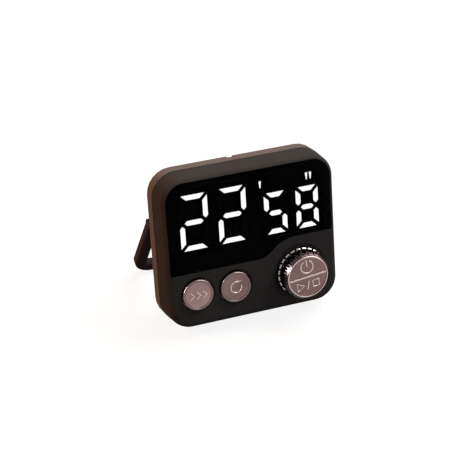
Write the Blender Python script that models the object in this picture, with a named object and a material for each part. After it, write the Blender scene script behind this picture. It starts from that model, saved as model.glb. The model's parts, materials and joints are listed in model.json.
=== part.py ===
"""Digital kitchen timer: a plastic case that leans back on a fold-out stand, with a
lit four-digit display, two push buttons and a knob that turns and presses.

Everything is modelled in the case's own frame: X to the right, Y from the front face
to the back, Z up along the case from its lower edge. The whole case then leans back.
"""
import math

import bmesh
import bpy
from mathutils import Matrix, Vector

MM = 0.001

# Fits
CLEARANCE = 0.3 * MM
OVERRUN = 1.0 * MM
LENS_CLEARANCE = 0.2 * MM
SLIDE_CLEARANCE = 0.2 * MM

# Case
CASE_WIDTH = 86.0 * MM
CASE_HEIGHT = 74.1 * MM
CASE_CORNER = 11.7 * MM
CASE_WALL = 2.0 * MM
CASE_DRAFT = 0.5 * MM
CASE_FILLET = 3.0 * MM
FACE_WALL = 2.0 * MM
SEAM_DEPTH = 12.5 * MM
SEAM_GAP = 0.4 * MM
RIM_DEPTH = 20.4 * MM
RIM_FILLET = 1.5 * MM
BACK_DEPTH = 25.8 * MM
BACK_WALL = 1.8 * MM
BACK_FILLET = 1.0 * MM
LEAN = math.radians(18.0)
NOTCH_RADIUS = 1.7 * MM
NOTCH_OFFSET = 1.4 * MM
NOTCH_LENGTH = 3.0 * MM

# Display window
WINDOW_MARGIN = 2.3 * MM
WINDOW_CORNER = 9.1 * MM
WINDOW_THICKNESS = 0.8 * MM
WINDOW_LOW_EDGE = 28.05 * MM
WINDOW_HIGH_EDGE = 36.05 * MM
WINDOW_STEP_RADIUS = 18.0 * MM
WINDOW_STEP_BLEND = 10.0 * MM
WINDOW_STEP_OFFSET = 1.2 * MM

# Digits
DIGIT_BASE = 38.7 * MM
DIGIT_TOP_EDGE = 8.3 * MM
DIGIT_LEFT_EDGE = 8.5 * MM
DIGIT_RIGHT_EDGE = 8.4 * MM
BIG_DIGIT_GAP = 4.6 * MM
MIDDLE_GAP = 8.6 * MM
SMALL_DIGIT_GAP = 4.5 * MM
BIG_DIGIT_SHARE = 0.2763
SMALL_HEIGHT_SHARE = 0.76
SEGMENT_WIDTH_SHARE = 0.096
SEGMENT_SPACING_SHARE = 0.0554
MASK_THICKNESS = 1.2 * MM
MARK_HEIGHT = 3.3 * MM
MARK_WIDTH = 1.1 * MM
MARK_SPACING = 0.9 * MM
MARK_RISE = 3.1 * MM
MINUTE_MARK_SHIFT = 1.4 * MM
SECOND_MARK_SHIFT = 4.6 * MM
MARK_TAPER_SHARE = 0.35

# Display mask, light guide and lamps
HOUSING_MARGIN = 2.4 * MM
HOUSING_LOW_MARGIN = 1.4 * MM
HOUSING_CORNER = 1.0 * MM
GUIDE_SHEET = 0.7 * MM
LAMP_LENGTH = 1.6 * MM
LAMP_WIDTH = 0.8 * MM
LAMP_HEIGHT = 0.7 * MM
SOLDER_SINK = 0.1 * MM

# Circuit board
BOARD_DEPTH = 7.7 * MM
BOARD_THICKNESS = 1.6 * MM
BOARD_MARGIN = 0.5 * MM
BOARD_SCREW_RADIUS = 0.9 * MM
BOARD_SCREW_HEAD = 2.0 * MM
BOARD_SCREW_HEAD_HEIGHT = 1.2 * MM
BOARD_SCREW_LENGTH = 4.6 * MM
BOARD_SCREW_EDGE = 6.0 * MM
BOARD_SCREW_UPPER = 32.0 * MM
BOARD_SCREW_LOWER = 6.2 * MM
BOSS_RADIUS = 2.2 * MM
CHIP_SIZE = 7.0 * MM
CHIP_HEIGHT = 1.0 * MM
CHIP_HEIGHT_UP = 32.0 * MM
PASSIVE_LENGTH = 2.0 * MM
PASSIVE_WIDTH = 1.2 * MM
PASSIVE_HEIGHT = 0.7 * MM
PASSIVE_PITCH = 4.0 * MM

# Push buttons
BUTTON_RADIUS = 7.6 * MM
BUTTON_RISE = 1.2 * MM
BUTTON_EDGE = 0.4 * MM
BUTTON_RIM = 0.7 * MM
BUTTON_DISH = 0.25 * MM
BUTTON_FLANGE = 1.0 * MM
BUTTON_FLANGE_THICKNESS = 0.8 * MM
BUTTON_STEM_RADIUS = 1.8 * MM
BUTTON_STEM_LENGTH = 0.9 * MM
BUTTON_HEIGHT_UP = 16.95 * MM
BUTTON_TRAVEL = 0.6 * MM
BUTTON_LEFT_EDGE = 14.6 * MM
BUTTON_PITCH = 18.7 * MM
FACE_CHAMFER = 0.8 * MM

# Switches under the buttons
SWITCH_SIZE = 6.0 * MM
SWITCH_HEIGHT = 2.2 * MM
SWITCH_FLOOR = 0.4 * MM
PLUNGER_RADIUS = 1.6 * MM

# Knob
KNOB_RIGHT_EDGE = 19.6 * MM
KNOB_HEIGHT_UP = 18.05 * MM
KNOB_RISE = 9.0 * MM
KNOB_TOP_RADIUS = 10.4 * MM
KNOB_EDGE = 0.3 * MM
KNOB_RIM = 0.8 * MM
KNOB_RIM_RISE = 0.4 * MM
KNOB_TRAVEL = 0.5 * MM
DIVIDER_WIDTH = 0.8 * MM
GRIP_RADIUS = 12.1 * MM
GRIP_TOP = 6.8 * MM
GRIP_FOOT = 2.3 * MM
GRIP_TEETH = 24
KNOB_TURN = math.radians(6.0)
GROOVE_DEPTH = 0.9 * MM
GROOVE_RUN_OUT = 1.3 * MM
RING_RADIUS = 12.0 * MM
RING_WALL = 2.2 * MM
RING_HEIGHT = 1.4 * MM
RING_FOOT = 0.1 * MM
RING_CHAMFER = 0.3 * MM
DISH_RADIUS = 13.6 * MM
DISH_DEPTH = 0.8 * MM
DISH_SLOPE = 1.2 * MM

# Rotary encoder under the knob
ENCODER_SIZE = 11.7 * MM
ENCODER_HEIGHT = 4.0 * MM
BUSHING_RADIUS = 3.9 * MM
BUSHING_HEIGHT = 2.2 * MM
SHAFT_RADIUS = 2.9 * MM
SHAFT_END_INSIDE_KNOB = 2.2 * MM
SHAFT_DEPTH = 5.0 * MM
SHAFT_FLAT = 0.6 * MM
ENCODER_PLUNGER_RADIUS = 2.4 * MM
ENCODER_FLOOR = 0.5 * MM

# Buzzer
BUZZER_RADIUS = 5.0 * MM
BUZZER_HEIGHT = 7.0 * MM
BUZZER_PORT = 1.2 * MM
BUZZER_SHIFT = 6.5 * MM
LOWER_STRIP_HEIGHT_UP = 11.4 * MM
SOUND_HOLE_RADIUS = 0.75 * MM
SOUND_HOLE_RING = 2.8 * MM
SOUND_HOLES = 6

# Batteries
BATTERY_RADIUS = 5.25 * MM
BATTERY_LENGTH = 44.5 * MM
BATTERY_NUB_RADIUS = 1.9 * MM
BATTERY_NUB = 0.9 * MM
BATTERY_EDGE = 0.4 * MM
BATTERY_COUNT = 3
BAY_FLOOR_DEPTH = 12.1 * MM
BAY_FLOOR_WALL = 1.2 * MM
BAY_WALL = 3.5 * MM
PLATE_SIZE = 8.0 * MM
PLATE_THICKNESS = 0.4 * MM
SPRING_LENGTH = 5.4 * MM
SPRING_WIRE = 0.35 * MM
SPRING_WIDE = 3.2 * MM
SPRING_NARROW = 1.9 * MM
SPRING_TURNS = 4
SPRING_STEPS = 10

# Battery door
DOOR_OVERLAP = 1.9 * MM
DOOR_THICKNESS = 1.4 * MM
DOOR_CORNER = 1.5 * MM
GRIP_WIDTH = 12.0 * MM
GRIP_HEIGHT = 0.8 * MM
GRIP_DEPTH = 0.5 * MM
GRIP_PITCH = 1.8 * MM
GRIP_COUNT = 3
THUMB_RADIUS = 4.5 * MM
THUMB_DEPTH = 1.1 * MM

# Stand
STAND_INSET = 0.3 * MM
STAND_BAR = 5.6 * MM
STAND_THICKNESS = 4.6 * MM
STAND_LENGTH = 47.0 * MM
STAND_CORNER = 10.5 * MM
STAND_LIFT = 0.1 * MM
STAND_EDGE = 0.7 * MM
STAND_PIN_RADIUS = 1.25 * MM
STAND_PIN_LENGTH = 2.6 * MM

# Case screws
CASE_SCREW_RADIUS = 1.3 * MM
CASE_SCREW_HEAD = 2.6 * MM
CASE_SCREW_HEAD_HEIGHT = 1.8 * MM
CASE_SCREW_INSET = 11.5 * MM
CASE_SCREW_EDGE = 10.9 * MM
CASE_SCREW_SINK = 6.8 * MM
POST_WALL = 1.1 * MM
LUG_WIDTH = 7.0 * MM
LUG_REACH = 3.2 * MM
LUG_START = 0.6 * MM
SCREW_TIP = 0.2 * MM
CROSS_WIDTH = 0.6 * MM
CROSS_LENGTH = 2.4 * MM
CROSS_DEPTH = 0.7 * MM

# Magnets
MAGNET_RADIUS = 4.0 * MM
MAGNET_THICKNESS = 1.0 * MM
MAGNET_PLACE = 18.0 * MM
MAGNET_EDGE = 11.5 * MM

# Volume switch
VOLUME_RIGHT_EDGE = 29.0 * MM
VOLUME_BODY_LENGTH = 9.6 * MM
VOLUME_BODY_WIDTH = 4.4 * MM
VOLUME_BODY_HEIGHT = 3.2 * MM
VOLUME_TRAVEL = 2.0 * MM
VOLUME_STEM_LENGTH = 1.6 * MM
VOLUME_STEM_WIDTH = 1.4 * MM
VOLUME_STEM_REACH = 1.0 * MM
VOLUME_GRIP_LENGTH = 2.8 * MM
VOLUME_GRIP_WIDTH = 3.0 * MM
VOLUME_RECESS = 1.2 * MM

# Curve resolution, in sides or steps
CORNER_STEPS = 6
WINDOW_STEPS = 9
FILLET_STEPS = 5
ROUND_SIDES = 56
MID_SIDES = 32
SMALL_SIDES = 16

# Places worked out from the sizes above
KNOB_X = CASE_WIDTH / 2 - KNOB_RIGHT_EDGE
QUICK_X = BUTTON_LEFT_EDGE - CASE_WIDTH / 2
RESET_X = QUICK_X + BUTTON_PITCH
BUZZER_X = (QUICK_X + RESET_X) / 2 + BUZZER_SHIFT
VOLUME_X = CASE_WIDTH / 2 - VOLUME_RIGHT_EDGE
DIGIT_ROW = CASE_WIDTH - DIGIT_LEFT_EDGE - DIGIT_RIGHT_EDGE
DIGIT_WIDTHS = DIGIT_ROW - BIG_DIGIT_GAP - MIDDLE_GAP - SMALL_DIGIT_GAP
BIG_DIGIT_WIDTH = BIG_DIGIT_SHARE * DIGIT_WIDTHS
SMALL_DIGIT_WIDTH = DIGIT_WIDTHS / 2 - BIG_DIGIT_WIDTH
BIG_DIGIT_HEIGHT = CASE_HEIGHT - DIGIT_BASE - DIGIT_TOP_EDGE
SMALL_DIGIT_HEIGHT = SMALL_HEIGHT_SHARE * BIG_DIGIT_HEIGHT
SEGMENT_WIDTH = SEGMENT_WIDTH_SHARE * BIG_DIGIT_HEIGHT
SEGMENT_SPACING = SEGMENT_SPACING_SHARE * BIG_DIGIT_HEIGHT
FIRST_DIGIT_X = DIGIT_LEFT_EDGE - CASE_WIDTH / 2
SECOND_DIGIT_X = FIRST_DIGIT_X + BIG_DIGIT_WIDTH + BIG_DIGIT_GAP
THIRD_DIGIT_X = SECOND_DIGIT_X + BIG_DIGIT_WIDTH + MIDDLE_GAP
LAST_DIGIT_X = THIRD_DIGIT_X + SMALL_DIGIT_WIDTH + SMALL_DIGIT_GAP
MARK_BASE = DIGIT_BASE + SMALL_DIGIT_HEIGHT + MARK_RISE
MINUTE_MARK_X = THIRD_DIGIT_X - MINUTE_MARK_SHIFT
SECOND_MARK_X = LAST_DIGIT_X + SMALL_DIGIT_WIDTH - SECOND_MARK_SHIFT
INNER_MARGIN = CASE_DRAFT + CASE_WALL
LENS_BACK = WINDOW_THICKNESS + CLEARANCE
BOARD_BACK = BOARD_DEPTH + BOARD_THICKNESS
PARTS_FRONT = BOARD_DEPTH - CLEARANCE
REAR_SEAM = SEAM_DEPTH + SEAM_GAP
STAND_SIDE = CASE_WIDTH / 2 - STAND_INSET
STAND_DEPTH = (RIM_DEPTH + BACK_DEPTH) / 2
HINGE_UP = STAND_LENGTH + STAND_LIFT
POD_MARGIN = STAND_INSET + STAND_BAR + CLEARANCE
POD_LOW = STAND_LIFT + STAND_BAR + CLEARANCE
BAY_WIDTH = BATTERY_LENGTH + SPRING_LENGTH + 2 * PLATE_THICKNESS + 5 * CLEARANCE
BATTERY_PITCH = 2 * BATTERY_RADIUS + CLEARANCE
BAY_HEIGHT = BATTERY_COUNT * BATTERY_PITCH + 3 * CLEARANCE
BAY_CENTRE_UP = (POD_LOW + CASE_HEIGHT - POD_MARGIN) / 2
BAY_INSIDE_DEPTH = BAY_FLOOR_DEPTH + BAY_FLOOR_WALL
DOOR_INNER = BACK_DEPTH - DOOR_THICKNESS
DOOR_WIDTH = BAY_WIDTH + 2 * DOOR_OVERLAP
DOOR_HEIGHT = BAY_HEIGHT + 2 * DOOR_OVERLAP
DOOR_LOW = BAY_CENTRE_UP - DOOR_HEIGHT / 2
CASE_SCREW_HIGH = CASE_HEIGHT - CASE_SCREW_EDGE
CASE_SCREW_SEAT = BACK_DEPTH - CASE_SCREW_SINK
LUG_FRONT = BOARD_BACK + LUG_START
LUG_BACK = SEAM_DEPTH - CLEARANCE
BUTTON_SEAT = FACE_WALL + CLEARANCE
BUTTON_STEM_END = BUTTON_SEAT + BUTTON_FLANGE_THICKNESS + BUTTON_STEM_LENGTH
PLUNGER_FRONT = BUTTON_STEM_END + CLEARANCE
PLUNGER_BACK = PARTS_FRONT - SWITCH_FLOOR - SLIDE_CLEARANCE - BUTTON_TRAVEL
ENCODER_PLUNGER_FRONT = SHAFT_DEPTH + CLEARANCE
ENCODER_PLUNGER_BACK = PARTS_FRONT - ENCODER_FLOOR - SLIDE_CLEARANCE - KNOB_TRAVEL
CAP_SHELF = RING_FOOT + RING_HEIGHT + CLEARANCE


# Scene, looks and frames

def clear_scene():
    for item in list(bpy.data.objects):
        bpy.data.objects.remove(item, do_unlink=True)


def look(name, colour, roughness, metallic=0.0):
    """A plain Principled material, made once for each name."""
    made = bpy.data.materials.get(name)
    if made:
        return made
    made = bpy.data.materials.new(name)
    made.use_nodes = True
    shader = made.node_tree.nodes["Principled BSDF"]
    shader.inputs["Base Color"].default_value = (*colour, 1.0)
    shader.inputs["Roughness"].default_value = roughness
    shader.inputs["Metallic"].default_value = metallic
    made.diffuse_color = (*colour, 1.0)
    return made


def matte_black():
    return look("matte_black_plastic", (0.014, 0.013, 0.013), 0.55)


def rear_grey():
    return look("charcoal_plastic", (0.035, 0.032, 0.030), 0.6)


def gloss_black():
    return look("gloss_black_window", (0.002, 0.002, 0.002), 0.08)


def rose_metal():
    return look("rose_satin_metal", (0.36, 0.25, 0.25), 0.35, 1.0)


def dark_metal():
    return look("dark_ring_metal", (0.10, 0.08, 0.08), 0.3, 1.0)


def white_light():
    return look("lit_white", (1.0, 1.0, 1.0), 0.5)


def board_green():
    return look("board_green", (0.02, 0.12, 0.05), 0.5)


def part_black():
    return look("part_black", (0.02, 0.02, 0.02), 0.5)


def steel():
    return look("steel", (0.6, 0.6, 0.6), 0.3, 1.0)


def battery_skin():
    return look("battery_skin", (0.05, 0.10, 0.22), 0.4)


def axis_empty(name, location, parent=None):
    """An empty that carries a group of pieces, or marks a joint's axis."""
    empty = bpy.data.objects.new(name, None)
    empty.empty_display_size = CASE_CORNER
    bpy.context.collection.objects.link(empty)
    empty.location = location
    empty.parent = parent
    return empty


def carry(pieces, axis, place):
    """Parents pieces modelled in the case's frame to an axis empty at its place."""
    for piece in pieces:
        piece.parent = axis
        piece.matrix_parent_inverse = Matrix.Translation(-Vector(place))


# Outlines, as lists of (x, z)

def arc(centre, radius, start, end, steps):
    """Points of an arc in the face's plane, both ends included."""
    points = []
    for step in range(steps + 1):
        angle = start + (end - start) * step / steps
        points.append((centre[0] + radius * math.cos(angle), centre[1] + radius * math.sin(angle)))
    return points


def circle(x, z, radius, sides):
    return arc((x, z), radius, 0.0, math.tau * (sides - 1) / sides, sides - 1)


def rounded_rectangle(left, right, low, high, corner, steps=CORNER_STEPS):
    """A rectangle with round corners, counterclockwise from its right side."""
    quarter = math.pi / 2
    points = []
    points += arc((right - corner, high - corner), corner, 0.0, quarter, steps)
    points += arc((left + corner, high - corner), corner, quarter, 2 * quarter, steps)
    points += arc((left + corner, low + corner), corner, 2 * quarter, 3 * quarter, steps)
    points += arc((right - corner, low + corner), corner, 3 * quarter, 4 * quarter, steps)
    return points


def case_outline(margin):
    """The case's outline, drawn in by a margin."""
    side = CASE_WIDTH / 2 - margin
    return rounded_rectangle(-side, side, margin, CASE_HEIGHT - margin, CASE_CORNER - margin)


def pod_outline(margin):
    """The raised back, drawn in by a margin, inside the stand's legs and bar."""
    side = CASE_WIDTH / 2 - POD_MARGIN - margin
    corner = CASE_CORNER - POD_MARGIN - margin
    return rounded_rectangle(-side, side, POD_LOW + margin, CASE_HEIGHT - POD_MARGIN - margin, corner)


def box_outline(left, right, low, high):
    return [(right, low), (right, high), (left, high), (left, low)]


def window_outline(grow=0.0):
    """The display window: a low edge at the left that swings up over the knob."""
    margin = WINDOW_MARGIN - grow
    side = CASE_WIDTH / 2 - margin
    top = CASE_HEIGHT - margin
    corner = WINDOW_CORNER + grow
    low = WINDOW_LOW_EDGE - grow
    high = WINDOW_HIGH_EDGE - grow
    over = WINDOW_STEP_RADIUS - grow
    under = WINDOW_STEP_BLEND + grow
    over_centre = (KNOB_X - WINDOW_STEP_OFFSET, high - over)
    rise = low + under - over_centre[1]
    under_centre = (over_centre[0] - math.sqrt((over + under) ** 2 - rise ** 2), low + under)
    lean = math.atan2(rise, over_centre[0] - under_centre[0])
    quarter = math.pi / 2
    points = [(side, high)]
    points += arc((side - corner, top - corner), corner, 0.0, quarter, WINDOW_STEPS)
    points += arc((corner - side, top - corner), corner, quarter, 2 * quarter, WINDOW_STEPS)
    points.append((-side, low))
    points += arc(under_centre, under, -quarter, -lean, WINDOW_STEPS)
    points += arc(over_centre, over, math.pi - lean, quarter, WINDOW_STEPS)[1:]
    return points


def offset_outline(points, distance):
    """A convex outline with every side moved inwards by a distance."""
    moved = []
    count = len(points)
    for index in range(count):
        before = Vector(points[index - 1])
        here = Vector(points[index])
        after = Vector(points[(index + 1) % count])
        first = (here - before).normalized()
        second = (after - here).normalized()
        first_in = Vector((-first.y, first.x))
        second_in = Vector((-second.y, second.x))
        shift = (first_in + second_in) / (1.0 + first_in.dot(second_in))
        moved.append(tuple(here + shift * distance))
    return moved


# Solids

def mesh_piece(name, mesh, material, smooth=True):
    """Fills an object with a bmesh, faces outwards, with its material."""
    bmesh.ops.recalc_face_normals(mesh, faces=mesh.faces)
    data = bpy.data.meshes.new(name)
    mesh.to_mesh(data)
    mesh.free()
    data.materials.append(material)
    if smooth:
        data.shade_smooth()
        data.set_sharp_from_angle(angle=math.radians(30.0))
    piece = bpy.data.objects.new(name, data)
    bpy.context.collection.objects.link(piece)
    return piece


def skin(mesh, loops):
    """Joins closed loops of points by bands of faces and caps both ends."""
    rings = [[mesh.verts.new(point) for point in loop] for loop in loops]
    for near, far in zip(rings, rings[1:]):
        count = len(near)
        for index in range(count):
            following = (index + 1) % count
            mesh.faces.new((near[index], near[following], far[following], far[index]))
    mesh.faces.new(rings[0])
    mesh.faces.new(rings[-1])


def at_depth(outline, depth):
    return [(x, depth, z) for x, z in outline]


def loft(name, sections, material):
    """A solid through (outline, depth) sections with equal numbers of points."""
    mesh = bmesh.new()
    skin(mesh, [at_depth(outline, depth) for outline, depth in sections])
    return mesh_piece(name, mesh, material)


def prism(name, outline, front, back, material):
    return loft(name, [(outline, front), (outline, back)], material)


def prisms(name, outlines, front, back, material):
    """Several separate prisms in one object."""
    mesh = bmesh.new()
    for outline in outlines:
        skin(mesh, [at_depth(outline, front), at_depth(outline, back)])
    return mesh_piece(name, mesh, material)


def turned(name, x, z, profile, material, sides=ROUND_SIDES):
    """A round solid about an axis along Y, through (radius, depth) stations."""
    return loft(name, [(circle(x, z, radius, sides), depth) for radius, depth in profile], material)


def turned_group(name, places, profile, material, sides=SMALL_SIDES):
    mesh = bmesh.new()
    for x, z in places:
        skin(mesh, [at_depth(circle(x, z, radius, sides), depth) for radius, depth in profile])
    return mesh_piece(name, mesh, material)


def block(name, left, right, front, back, low, high, material):
    return prism(name, box_outline(left, right, low, high), front, back, material)


def shape_with(piece, tool, operation):
    """Adds a Boolean and hides its tool from the finished part."""
    tool.hide_render = True
    tool.display_type = "WIRE"
    step = piece.modifiers.new(tool.name, "BOOLEAN")
    step.operation = operation
    step.solver = "EXACT"
    step.object = tool
    return piece


def cut(piece, tool):
    return shape_with(piece, tool, "DIFFERENCE")


def add(piece, tool):
    return shape_with(piece, tool, "UNION")


# Front case and window

def front_sections(depth_end):
    """The front of the case: a round front edge, then a slightly drafted wall."""
    sections = []
    for step in range(FILLET_STEPS + 1):
        angle = math.pi / 2 * step / FILLET_STEPS
        margin = CASE_DRAFT + CASE_FILLET * (1 - math.sin(angle))
        sections.append((case_outline(margin), CASE_FILLET * (1 - math.cos(angle))))
    sections.append((case_outline(0.0), depth_end))
    return sections


def board_screw_places():
    lower_left = (QUICK_X + RESET_X) / 2
    lower_right = (RESET_X + KNOB_X) / 2
    side = CASE_WIDTH / 2 - BOARD_SCREW_EDGE
    return [
        (-side, BOARD_SCREW_UPPER),
        (side, BOARD_SCREW_UPPER),
        (lower_left, BOARD_SCREW_LOWER),
        (lower_right, BOARD_SCREW_LOWER),
    ]


def case_screw_places():
    reach = CASE_WIDTH / 2 - CASE_SCREW_INSET
    return [(side * reach, up) for side in (-1, 1) for up in (CASE_SCREW_EDGE, CASE_SCREW_HIGH)]


def front_case():
    shell = loft("front_case", front_sections(SEAM_DEPTH), matte_black())
    hollow = case_outline(INNER_MARGIN)
    cut(shell, prism("front_hollow", hollow, FACE_WALL, SEAM_DEPTH + OVERRUN, matte_black()))
    pocket = window_outline(LENS_CLEARANCE)
    cut(shell, prism("window_pocket", pocket, -OVERRUN, WINDOW_THICKNESS + LENS_CLEARANCE, matte_black()))
    left, right, low, high = housing_limits()
    opening = rounded_rectangle(left - CLEARANCE, right + CLEARANCE, low - CLEARANCE,
                                high + CLEARANCE, HOUSING_CORNER + CLEARANCE)
    cut(shell, prism("display_opening", opening, 0.0, FACE_WALL + OVERRUN, matte_black()))
    for name, x in (("quick_hole", QUICK_X), ("reset_hole", RESET_X)):
        hole = BUTTON_RADIUS + CLEARANCE
        wide = hole + FACE_CHAMFER + OVERRUN
        profile = [(wide, -OVERRUN), (hole, FACE_CHAMFER), (hole, FACE_WALL + OVERRUN)]
        cut(shell, turned(name, x, BUTTON_HEIGHT_UP, profile, matte_black()))
    dish = [
        (DISH_RADIUS + OVERRUN * DISH_SLOPE / DISH_DEPTH, -OVERRUN),
        (DISH_RADIUS - DISH_SLOPE, DISH_DEPTH),
    ]
    cut(shell, turned("knob_dish", KNOB_X, KNOB_HEIGHT_UP, dish, matte_black()))
    shaft_hole = [(BUSHING_RADIUS + CLEARANCE, 0.0), (BUSHING_RADIUS + CLEARANCE, FACE_WALL + OVERRUN)]
    cut(shell, turned("shaft_hole", KNOB_X, KNOB_HEIGHT_UP, shaft_hole, matte_black(), MID_SIDES))
    boss = [(BOSS_RADIUS, FACE_WALL - OVERRUN / 2), (BOSS_RADIUS, PARTS_FRONT)]
    add(shell, turned_group("board_bosses", board_screw_places(), boss, matte_black()))
    add(shell, case_lugs())
    tap = BOARD_SCREW_RADIUS + CLEARANCE
    bore = [(tap, PARTS_FRONT - BOARD_SCREW_LENGTH), (tap, PARTS_FRONT + OVERRUN)]
    cut(shell, turned_group("boss_bores", board_screw_places(), bore, matte_black()))
    tap = CASE_SCREW_RADIUS + CLEARANCE
    bore = [(tap, LUG_FRONT - OVERRUN), (tap, LUG_BACK + OVERRUN)]
    cut(shell, turned_group("lug_bores", case_screw_places(), bore, matte_black()))
    return shell


def case_lugs():
    """Four lugs on the top and bottom walls, behind the board, that the case screws bite."""
    outlines = []
    for x, up in case_screw_places():
        reach = CASE_SCREW_EDGE + LUG_REACH
        low = CASE_WALL / 2 + CASE_DRAFT if up < CASE_HEIGHT / 2 else CASE_HEIGHT - reach
        high = reach if up < CASE_HEIGHT / 2 else CASE_HEIGHT - CASE_WALL / 2 - CASE_DRAFT
        outlines.append(box_outline(x - LUG_WIDTH / 2, x + LUG_WIDTH / 2, low, high))
    return prisms("case_lugs", outlines, LUG_FRONT, LUG_BACK, matte_black())


def display_window():
    lens = loft("display_window", front_sections(SEAM_DEPTH), gloss_black())
    plate = prism("window_plate", window_outline(), -OVERRUN, WINDOW_THICKNESS, gloss_black())
    return shape_with(lens, plate, "INTERSECT")


# Display

def digit_segments(left, width, height):
    """Outlines of a digit's seven bars, by letter, with mitred ends."""
    half_gap = SEGMENT_SPACING / 2
    bar = SEGMENT_WIDTH + SEGMENT_SPACING
    x0 = left - half_gap
    x1 = left + width + half_gap
    z0 = DIGIT_BASE - half_gap
    z1 = DIGIT_BASE + height + half_gap
    middle = (z0 + z1) / 2
    half = bar / 2
    left_in = x0 + bar
    right_in = x1 - bar
    under = middle - half
    over = middle + half
    left_point = (x0 + half, middle)
    right_point = (x1 - half, middle)
    whole = {
        "a": [(x0, z1), (left_in, z1 - bar), (right_in, z1 - bar), (x1, z1)],
        "b": [(x1, z1), (right_in, z1 - bar), (right_in, over), right_point, (x1, over)],
        "c": [(x1, z0), (x1, under), right_point, (right_in, under), (right_in, z0 + bar)],
        "d": [(x0, z0), (x1, z0), (right_in, z0 + bar), (left_in, z0 + bar)],
        "e": [(x0, z0), (left_in, z0 + bar), (left_in, under), left_point, (x0, under)],
        "f": [(x0, z1), (x0, over), left_point, (left_in, over), (left_in, z1 - bar)],
        "g": [left_point, (left_in, under), (right_in, under), right_point,
              (right_in, over), (left_in, over)],
    }
    return {letter: offset_outline(outline, half_gap) for letter, outline in whole.items()}


def all_digits():
    """Each digit's bars, from left to right."""
    big = (BIG_DIGIT_WIDTH, BIG_DIGIT_HEIGHT)
    small = (SMALL_DIGIT_WIDTH, SMALL_DIGIT_HEIGHT)
    return [
        digit_segments(FIRST_DIGIT_X, *big),
        digit_segments(SECOND_DIGIT_X, *big),
        digit_segments(THIRD_DIGIT_X, *small),
        digit_segments(LAST_DIGIT_X, *small),
    ]


def mark_outline(x):
    """One tapered stroke, wide at its top."""
    half = MARK_WIDTH / 2
    foot = half * MARK_TAPER_SHARE
    return [(x + half, MARK_BASE + MARK_HEIGHT), (x - half, MARK_BASE + MARK_HEIGHT),
            (x - foot, MARK_BASE), (x + foot, MARK_BASE)]


def minute_strokes():
    return [mark_outline(MINUTE_MARK_X)]


def second_strokes():
    shift = (MARK_WIDTH + MARK_SPACING) / 2
    return [mark_outline(SECOND_MARK_X - shift), mark_outline(SECOND_MARK_X + shift)]


def housing_limits():
    """Left, right, low and high sides of the display's frame."""
    left = FIRST_DIGIT_X - HOUSING_MARGIN
    right = LAST_DIGIT_X + SMALL_DIGIT_WIDTH + HOUSING_MARGIN
    low = DIGIT_BASE - HOUSING_LOW_MARGIN
    high = DIGIT_BASE + BIG_DIGIT_HEIGHT + HOUSING_MARGIN
    return left, right, low, high


def middle_of(outline):
    return (sum(x for x, z in outline) / len(outline), sum(z for x, z in outline) / len(outline))


def cell_outlines():
    """Every bar and mark of the display."""
    bars = [outline for digit in all_digits() for outline in digit.values()]
    return bars + minute_strokes() + second_strokes()


def display():
    """A mask with a hole for each bar, a clear guide whose lands fill them, and a grid for the lamps."""
    left, right, low, high = housing_limits()
    frame = rounded_rectangle(left, right, low, high, HOUSING_CORNER, CORNER_STEPS // 2)
    mask_back = LENS_BACK + MASK_THICKNESS
    sheet_front = mask_back + CLEARANCE
    sheet_back = sheet_front + GUIDE_SHEET
    holes = [offset_outline(outline, -CLEARANCE) for outline in cell_outlines()]
    mask = prism("display_mask", frame, LENS_BACK, mask_back, part_black())
    cut(mask, prisms("mask_cells", holes, LENS_BACK - OVERRUN, mask_back + OVERRUN, part_black()))
    guide = prism("light_guide", frame, sheet_front, sheet_back, white_light())
    land_back = sheet_back - GUIDE_SHEET / 2
    add(guide, prisms("guide_lands", cell_outlines(), LENS_BACK, land_back, white_light()))
    grid = prism("lamp_grid", frame, sheet_back + CLEARANCE, PARTS_FRONT, part_black())
    cut(grid, prisms("grid_cells", holes, sheet_back, PARTS_FRONT + OVERRUN, part_black()))


# Board and what it carries

def main_board():
    """The board with its lamps on the front and a row of small parts on the back."""
    edge = case_outline(INNER_MARGIN + BOARD_MARGIN)
    board = prism("main_board", edge, BOARD_DEPTH, BOARD_BACK, board_green())
    hole = BOARD_SCREW_RADIUS + CLEARANCE
    through = [(hole, BOARD_DEPTH - OVERRUN), (hole, BOARD_BACK + OVERRUN)]
    cut(board, turned_group("board_holes", board_screw_places(), through, board_green()))
    lamps = []
    for digit in all_digits():
        for outline in digit.values():
            x, z = middle_of(outline)
            lamps.append(centred_box(x, z, LAMP_LENGTH, LAMP_WIDTH))
    add(board, prisms("lamps", lamps, BOARD_DEPTH - LAMP_HEIGHT, BOARD_DEPTH + SOLDER_SINK, white_light()))
    row_up = CHIP_HEIGHT_UP - CHIP_SIZE
    small = [centred_box(index * PASSIVE_PITCH, row_up, PASSIVE_LENGTH, PASSIVE_WIDTH)
             for index in range(-2, 3)]
    part_back = BOARD_BACK + PASSIVE_HEIGHT
    add(board, prisms("small_parts", small, BOARD_BACK - SOLDER_SINK, part_back, part_black()))
    chip = centred_box(0.0, CHIP_HEIGHT_UP, CHIP_SIZE, CHIP_SIZE)
    front = BOARD_BACK + CLEARANCE
    prism("controller_chip", chip, front, front + CHIP_HEIGHT, part_black())


def centred_box(x, z, width, height):
    return box_outline(x - width / 2, x + width / 2, z - height / 2, z + height / 2)


def turned_outline(points, angle):
    """An outline turned about the origin, from right towards up."""
    across = math.cos(angle)
    rise = math.sin(angle)
    return [(x * across - z * rise, x * rise + z * across) for x, z in points]


def screw_profile(seat, shank, head, head_height, length):
    """A pan-head screw that points forwards from its seat."""
    return [
        (shank / 2, seat - length),
        (shank, seat - length + shank),
        (shank, seat),
        (head, seat),
        (head, seat + head_height / 2),
        (head - head_height / 2, seat + head_height),
    ]


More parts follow.
